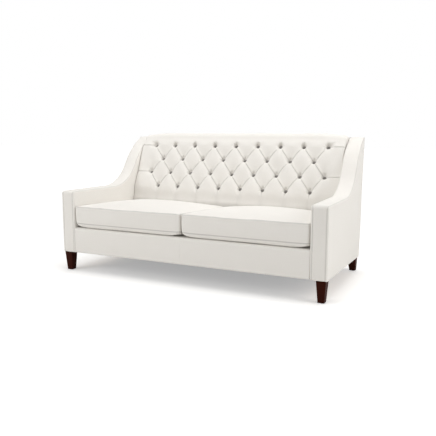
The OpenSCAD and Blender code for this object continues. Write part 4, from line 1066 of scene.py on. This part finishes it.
def button_grid():
    """A dome turned about its middle: rings from the skirt over the rim to the top,
    the height falling as the distance out to the power of 2.6."""
    out = np.concatenate([[0.93, 1.0], np.linspace(1, 0.02, 9)])[:, None]
    up = np.concatenate([[-0.6, -0.15], 1 - np.linspace(1, 0.02, 9) ** 2.6])[:, None]
    turn = np.linspace(0, 2 * np.pi, 25)[None, :]
    return gridded(
        BUTTON_R * out * np.cos(turn), BUTTON_R * out * np.sin(turn), BUTTON_H * up)


def all_buttons():
    """The dome's grid at every button, turned to face out along the lean, and painted with the
    shade of its pit.
    """
    dome = button_grid()
    grids = []
    for row in range(ROWS):
        count = 2 * EDGE_U + 1 - row % 2
        place = LEAN_TOP - LEAN_UP * (FIRST_ROW + row * ROW) + LEAN_IN * BUTTON_SEAT
        for k in range(count):
            x = (k - (count - 1) / 2) * PITCH
            grids.append(np.stack([
                x + dome[..., 0],
                place[0] + LEAN_UP[0] * dome[..., 1] + LEAN_IN[0] * dome[..., 2],
                place[1] + LEAN_UP[1] * dome[..., 1] + LEAN_IN[1] * dome[..., 2]], -1))
    size = dome.shape[0] * dome.shape[1]
    faces = np.concatenate([grid_faces(*dome.shape[:2]) + k * size for k in range(len(grids))])
    points = np.stack(grids).reshape(-1, 3)
    return make_piece("covered_buttons", points, faces, points[:, [0, 2]],
                      np.full(len(points), PAINTED_BUTTON_SHADE))


dress(all_buttons(), linen, "sofa", "linen", "back_buttons")

# Outside back
# One plain sheet of linen over the whole rear, tacked under the base and blind
# stitched up both arms and along the top roll.

BACK_TOP_Z = 0.8678
SHEET_HALF_W = 0.88
SHEET_TURN = 0.0005
SHEET_STEP = 0.78


def rear_face_y(z):
    """Depth of the outside back's leaning plane at a height."""
    return REAR_Y - (REAR_Y - FOOT_Y) * (CORNER_Z - z) / (CORNER_Z - BASE_Z + BASE_DROP)


def outside_points():
    """The sheet's grid, lower between the arms than behind them, with its edges
    turned in and a slight hollow where it is drawn tight."""
    s = mirrored(np.concatenate([
        np.linspace(0, 0.76, 60), np.linspace(0.765, 0.7795, 6), np.linspace(0.781, 0.872, 12),
        [0.876, 0.878, 0.8788, 0.8794, SHEET_HALF_W]]))[None, :]
    t = np.concatenate([[0, 0.002, 0.006], np.linspace(0.015, 0.985, 60), [0.994, 0.998, 1]])
    t = t[:, None]
    top = np.where(np.abs(s) > SHEET_STEP, CORNER_Z - 0.001, BACK_TOP_Z - SHEET_TURN)
    bottom_z = BASE_Z - BASE_DROP + SHEET_TURN
    z = bottom_z + (top - bottom_z) * t
    edge = np.minimum(t, 1 - t) * (top - bottom_z)
    side = SHEET_HALF_W - np.abs(s)
    inward = 0.003 * np.exp(-edge / 0.004) + 0.006 * np.exp(-side / 0.001)
    tight = 0.0012 * np.sin(np.pi * (z - bottom_z) / (CORNER_Z - bottom_z))
    tight = tight * (1 - (s / SHEET_HALF_W) ** 4)
    uneven = ripple(s, z, seed=81, size=0.35, depth=0.0006)
    y = rear_face_y(z) - inward - tight + uneven
    x = s * outer_x(y) / SHEET_HALF_W
    return gridded(x, y, z)


plain = outside_points()
outside = make_sheet_grid("outside_back_sheet", plain, flip=True, uv=plain[..., [0, 2]])
dress(outside, linen, "sofa", "linen", "outside_back_cover")

# Seat cushions
# Two loose box cushions in zipped linen covers over foam and fibre. The top panel
# is crowned, and a seam runs round its edge and another low round the side.

CUSHION_GAP = 0.002
CUSHION_BOTTOM_Z = 0.2934
CUSHION_TOP_Z = SEAT_TOP_Z
CUSHION_CROWN = 0.048
CUSHION_REAR_DROP = 0.028
CUSHION_BACK_Y = 0.182
CUSHION_R = 0.034
LOW_SEAM_Z = 0.3214
SWELL_LIMIT = 0.014
CORNER_LIFT = 0.0045
BOX_GIVE = 0.3
SEAM_PULL = 0.0022
SEAM_SINK = 0.0010
PAINTED_CUSHION_SEAM_SHADE = 0.45
START_CROWN = 0.034
UNEVEN_OVER_Z = 0.425
PLAN_COLUMNS = 62
PLAN_ROWS = 50
CUSHION_HALF_W = (inner_x(FRONT_Y) - 1.5 * CUSHION_GAP) / 2
CUSHION_HALF_D = (CUSHION_BACK_Y - FRONT_Y) / 2
CUSHION_MIDDLE_Y = (CUSHION_BACK_Y + FRONT_Y) / 2
SIDE_RINGS = (  # height, inset all round, tuck at the ends, corner radius
    (0.4285, 0.0030, 0.0010, 0.012),
    (0.4200, 0.0030, 0.0020, 0.012),
    (0.4050, 0.0025, 0.0025, 0.012),
    (0.3880, 0.0020, 0.0025, 0.012),
    (0.3710, 0.0020, 0.0025, 0.012),
    (0.3540, 0.0025, 0.0025, 0.012),
    (0.3380, 0.0030, 0.0025, 0.013),
    (0.3265, 0.0035, 0.0020, 0.015),
    (LOW_SEAM_Z, 0.0040, 0.0020, 0.016),
    (0.3165, 0.0045, 0.0020, 0.019),
    (0.3080, 0.0065, 0.0020, 0.025),
    (0.2995, 0.0105, 0.0025, 0.034))
LOW_RING = 9


def rounded_plan(s, t, inset, tuck=0.0, r=CUSHION_R):
    """A cushion's plan: s and t from -1 to 1 fill a rectangle, and each corner's
    square is bent onto a quarter of a disc. The tuck draws in its two ends only."""
    half_w = CUSHION_HALF_W - inset - tuck
    half_d = CUSHION_HALF_D - inset
    px, py = np.abs(s) * half_w, np.abs(t) * half_d
    a = np.clip((px - half_w + r) / r, 0, 1)
    b = np.clip((py - half_d + r) / r, 0, 1)
    x = np.where((a > 0) & (b > 0), half_w - r + r * a * np.sqrt(1 - b * b / 2), px)
    y = np.where((a > 0) & (b > 0), half_d - r + r * b * np.sqrt(1 - a * a / 2), py)
    return np.sign(s) * x, np.sign(t) * y


def cushion_start(seed):
    """The cover before it is filled: a crowned top, sides that draw in towards the
    top and the foot, and a flat bottom with lifted corners, as rings between two
    grids."""
    nx, ny = PLAN_COLUMNS, PLAN_ROWS
    s, t = np.meshgrid(np.linspace(-1, 1, nx + 1), np.linspace(-1, 1, ny + 1))
    loop = np.concatenate([
        np.arange(nx), np.arange(ny) * (nx + 1) + nx,
        (nx + 1) * (ny + 1) - 1 - np.arange(nx),
        (ny - np.arange(ny)) * (nx + 1)])
    crown = (1 - s ** 2) ** 1.3 * (1 - t ** 2)
    corner = (np.abs(s * t) ** 7).ravel()[loop]
    top = np.stack([*rounded_plan(s, t, 0.002, r=0.014), CUSHION_TOP_Z + START_CROWN * crown], -1)
    rings = []
    for z, inset, tuck, r in SIDE_RINGS:
        x, y = rounded_plan(s.ravel()[loop], t.ravel()[loop], inset, tuck, r)
        lift = CORNER_LIFT * corner * np.clip((LOW_SEAM_Z + 0.02 - z) / 0.03, 0, 1)
        rings.append(np.stack([x, y, z + lift], -1))
    flat_z = CUSHION_BOTTOM_Z + CORNER_LIFT * np.abs(s * t) ** 7
    bottom = np.stack([*rounded_plan(s, t, 0.019, 0.006, 0.050), flat_z], -1)
    size = (nx + 1) * (ny + 1)
    n = len(loop)
    numbers = [loop] + [size + k * n + np.arange(n) for k in range(len(rings))]
    numbers.append(size + len(rings) * n + loop)
    sides = [np.stack([
        hi, lo, np.roll(lo, -1), np.roll(hi, -1)], 1) for hi, lo in zip(numbers, numbers[1:])]
    plan = grid_faces(ny + 1, nx + 1)
    faces = np.concatenate([plan, *sides, plan[:, ::-1] + size + len(rings) * n])
    points = np.concatenate([top.reshape(-1, 3), *rings, bottom.reshape(-1, 3)])
    uneven = ripple(points[:, 0:1], points[:, 1:2], seed, size=0.3, depth=0.0012)
    points = points + np.array([0, 0, 1]) * uneven * (points[:, 2:3] > UNEVEN_OVER_Z)
    seams = (numbers[0], numbers[LOW_RING])
    return points, faces, seams


def cloth_uv(points):
    """Cloth coordinates for a box: its plan on the top and bottom, and the sides
    folded out flat from the top's edges."""
    flat = points[:, 0:2].copy()
    down = CUSHION_TOP_Z - points[:, 2]
    side = (down > 0.002) & (points[:, 2] > CUSHION_BOTTOM_Z + 0.005)
    share = np.abs(flat) / np.abs(flat).max(axis=0)
    end = side & (share[:, 0] > share[:, 1])
    front = side & ~end
    flat[end, 0] += np.sign(flat[end, 0]) * down[end]
    flat[front, 1] += np.sign(flat[front, 1]) * down[front]
    return flat


def read_points(mesh):
    """A mesh's points, one to a row."""
    flat = np.empty(len(mesh.vertices) * 3, dtype=np.float32)
    mesh.vertices.foreach_get("co", flat)
    return flat.reshape(-1, 3)


def swell(piece, pressure, limit, give, frames=20):
    """Fills a closed piece as its stuffing does: cloth with pressure inside and no
    gravity. Each direction keeps its own share of the movement, and no point moves
    further than the limit."""
    before = read_points(piece.data)
    cloth = piece.modifiers.new("swell", "CLOTH")
    cloth.settings.quality = 6
    cloth.settings.mass = 0.4
    cloth.settings.tension_stiffness = 200
    cloth.settings.compression_stiffness = 200
    cloth.settings.shear_stiffness = 60
    cloth.settings.bending_stiffness = 5
    cloth.settings.use_pressure = True
    cloth.settings.uniform_pressure_force = pressure
    cloth.settings.effector_weights.gravity = 0
    cloth.collision_settings.use_collision = False
    scene = bpy.context.scene
    for frame_number in range(1, frames + 1):
        scene.frame_set(frame_number)
    filled = piece.evaluated_get(bpy.context.evaluated_depsgraph_get())
    after = read_points(filled.to_mesh())
    piece.modifiers.remove(cloth)
    scene.frame_set(1)
    move = (after - before) * give
    far = np.linalg.norm(move, axis=1)[:, None]
    return before + move * np.minimum(1, limit / np.maximum(far, 1e-9))


def fitted(points, middle):
    """The filled cover, brought back to the room it has on the sofa: its reach on
    each side, its crown over the top seam, which is lower at the rear, and its flat
    bottom."""
    x = points[:, 0] / np.abs(points[:, 0]).max() * CUSHION_HALF_W
    y = points[:, 1] / np.abs(points[:, 1]).max() * CUSHION_HALF_D
    z = points[:, 2]
    drop = CUSHION_REAR_DROP * np.clip((y / CUSHION_HALF_D + 1) / 2, 0, 1)
    over = np.maximum(z - CUSHION_TOP_Z, 0)
    share = np.clip((z - CUSHION_BOTTOM_Z) / (CUSHION_TOP_Z - CUSHION_BOTTOM_Z), 0, 1)
    z = np.minimum(z, CUSHION_TOP_Z) + over / over.max() * CUSHION_CROWN - drop * share
    z = np.maximum(z, CUSHION_BOTTOM_Z)
    y = y + CUSHION_MIDDLE_Y
    x = (x + CUSHION_HALF_W) * (inner_x(y) - 1.5 * CUSHION_GAP) / (2 * CUSHION_HALF_W) + middle
    return np.stack([x, y, z], 1)


def make_cushion(side, hand):
    """One cushion, filled, pulled in along its two seams with painted shade along them, and
    smoothed once.
    """
    points, faces, seams = cushion_start(91 + side)
    name = f"{hand}_seat_cushion"
    piece = make_piece(name, points, faces, cloth_uv(points))
    points = swell(piece, 0.5, SWELL_LIMIT, (BOX_GIVE, BOX_GIVE, 1))
    points = fitted(points, CUSHION_GAP / 2)
    dip = np.zeros(len(points))
    for seam in seams:
        dip[seam] = 1
    inward = np.array([inner_x(0) / 2, CUSHION_MIDDLE_Y]) - points[:, 0:2]
    inward /= np.linalg.norm(inward, axis=1)[:, None]
    points[:, 0:2] += SEAM_PULL * dip[:, None] * inward
    points[:, 2] -= SEAM_SINK * dip
    points[:, 0] *= side
    piece.data.vertices.foreach_set("co", points.astype(np.float32).ravel())
    if side < 0:
        piece.data.flip_normals()
    # Painted shade along both seams
    set_painted_shading(piece.data, PAINTED_CUSHION_SEAM_SHADE * dip)
    smooth = piece.modifiers.new("smooth", "SUBSURF")
    smooth.levels = 1
    smooth.render_levels = 1
    return piece


for side, hand in SIDES:
    cushion = dress(make_cushion(side, hand), linen, f"{hand}_cushion", "linen",
                    f"{hand}_cushion_cover", f"{hand}_cushion_foam")

# Zips
# A nylon coil zip on linen tape across the back of each cushion, closed by a
# nickel slider with a pull tab.

ZIP_X0 = 0.07
ZIP_X1 = 0.7175
ZIP_Z = 0.3769
ZIP_HALF_W = 0.013
TEETH_T = 0.0018
TEETH_PITCH = 0.003
ZIP_TAPE = (214, 208, 196)
ZIP_TAPE_SHADE = (194, 187, 174)
ZIP_TAPE_THREAD = 0.0008
NICKEL = (190, 188, 182)


def zip_points(side):
    """The zip's grid: flat tape with a ridge of teeth along its middle, the ridge
    rising and falling as a sine wave along its length."""
    x = np.arange(ZIP_X0, ZIP_X1, TEETH_PITCH / 4)[None, :]
    half = np.array([0.02, 0.1, 0.19, 0.21, 0.3, 0.6, 0.999, 1])
    w = np.concatenate([-half[::-1], half])[:, None]
    coil = (np.abs(w) < 0.2) & (np.abs(w) > 0.015)
    tooth = TEETH_T * (0.7 + 0.3 * np.sin(2 * np.pi * x / TEETH_PITCH + (w > 0) * np.pi))
    out = 0.001 + coil * tooth
    out = np.where(np.abs(w) == 1, 0.0002, out)
    z = ZIP_Z + w * ZIP_HALF_W
    return gridded(side * x, CUSHION_BACK_Y + out, z)


zip_tape = make_cloth("zip_tape", ZIP_TAPE, ZIP_TAPE_SHADE, ZIP_TAPE_THREAD)
for side, hand in SIDES:
    dress(make_sheet_grid(f"{hand}_cushion_zip_tape", zip_points(side), flip=side > 0),
          zip_tape, f"{hand}_cushion", "zip_tape", f"{hand}_cushion_zip")
finish(make_metal("nickel_slider", NICKEL, (1, 1, 4), 0.2), "left_zip_slider", "right_zip_slider")

# Studio
# A plain pale floor that turns white away from the sofa, a large soft lamp above,
# one at the right, one in front at the left, and an even sky.

FLOOR = (235, 234, 232)
FLOOR_REACH = 30.0
FLOOR_GLOW = 0.36
FAR_GLOW = 0.75
GLOW_START = 1.8
GLOW_END = 6.0
SKY = 0.45


def looked_at(tree):
    """1 for rays from the camera and from shiny or clear surfaces, 0 for soft light."""
    ray = add(tree, "ShaderNodeLightPath").outputs
    shiny = maths(tree, "MAXIMUM", ray["Is Glossy Ray"], ray["Is Transmission Ray"])
    return maths(tree, "MAXIMUM", ray["Is Camera Ray"], shiny)


def make_floor():
    """A wide flat floor: a matt colour, with a glow that only the camera and shiny
    surfaces see, stronger far from the sofa, so that it stays white and keeps the
    shadow."""
    mesh = bpy.data.meshes.new("studio_floor")
    r = FLOOR_REACH
    mesh.from_pydata([(-r, -r, 0), (r, -r, 0), (r, r, 0), (-r, r, 0)], [], [(0, 1, 2, 3)])
    floor = bpy.data.objects.new("studio_floor", mesh)
    bpy.context.collection.objects.link(floor)
    material, tree = new_material("studio_floor")
    matt = add(tree, "ShaderNodeBsdfDiffuse", {"Color": colour(FLOOR)})
    away = add(tree, "ShaderNodeVectorMath", {0: place_of(tree)}, operation="LENGTH")
    level = add(tree, "ShaderNodeMapRange", {
        "Value": away.outputs["Value"], "From Min": GLOW_START, "From Max": GLOW_END,
        "To Min": FLOOR_GLOW, "To Max": FAR_GLOW}, interpolation_type="SMOOTHSTEP")
    glow = add(tree, "ShaderNodeEmission", {
        "Color": (1, 1, 1, 1),
        "Strength": maths(tree, "MULTIPLY", looked_at(tree), level.outputs[0])})
    both = add(tree, "ShaderNodeAddShader", {0: matt.outputs[0], 1: glow.outputs[0]})
    add(tree, "ShaderNodeOutputMaterial", {"Surface": both.outputs[0]})
    mesh.materials.append(material)
    return floor


def add_lamp(name, place, aim, size, power):
    """A square soft lamp that looks from its place at a point."""
    lamp = bpy.data.lights.new(name, "AREA")
    lamp.shape = "SQUARE"
    lamp.size = size
    lamp.energy = power
    holder = bpy.data.objects.new(name, lamp)
    bpy.context.collection.objects.link(holder)
    to = np.array(aim) - np.array(place)
    flat = np.hypot(to[0], to[1])
    holder.location = place
    holder.rotation_euler = (np.arctan2(flat, -to[2]), 0, np.arctan2(to[0], -to[1]) + np.pi)


make_floor()
add_lamp("overhead", (0.2, 0.2, 3.4), (0, 0, 0.3), 3.2, 64.5)
add_lamp("right_side", (4.2, -0.4, 1.9), (0, 0, 0.5), 2.4, 60.0)
add_lamp("front_left", (-3.0, -4.0, 2.0), (0, 0, 0.4), 2.6, 75.0)

world = bpy.data.worlds.new("studio")
bpy.context.scene.world = world
world.use_nodes = True
sky = world.node_tree
sky.nodes.clear()
level = maths(sky, "MULTIPLY_ADD", looked_at(sky), 1 - SKY, SKY)
dome = add(sky, "ShaderNodeBackground", {"Color": (1, 1, 1, 1), "Strength": level})
add(sky, "ShaderNodeOutputWorld", {"Surface": dome.outputs[0]})

# Camera
# Placed and aimed as the photograph was taken, as high as the top of the back and
# well to the right of the middle.

CAMERA = (1.6854, -3.3279, 0.9124)
AZIMUTH = np.radians(26.464)
ELEVATION = np.radians(8.551)
FOCAL_PIXELS = 563.95
FRAME_PIXELS = 436
SENSOR = 36.0

lens = bpy.data.cameras.new("photo_camera")
lens.sensor_width = SENSOR
lens.lens = FOCAL_PIXELS * SENSOR / FRAME_PIXELS
camera = bpy.data.objects.new("photo_camera", lens)
camera.location = CAMERA
camera.rotation_euler = (np.pi / 2 - ELEVATION, 0, AZIMUTH)
bpy.context.collection.objects.link(camera)
bpy.context.scene.camera = camera
bpy.context.scene.view_settings.view_transform = "Standard"
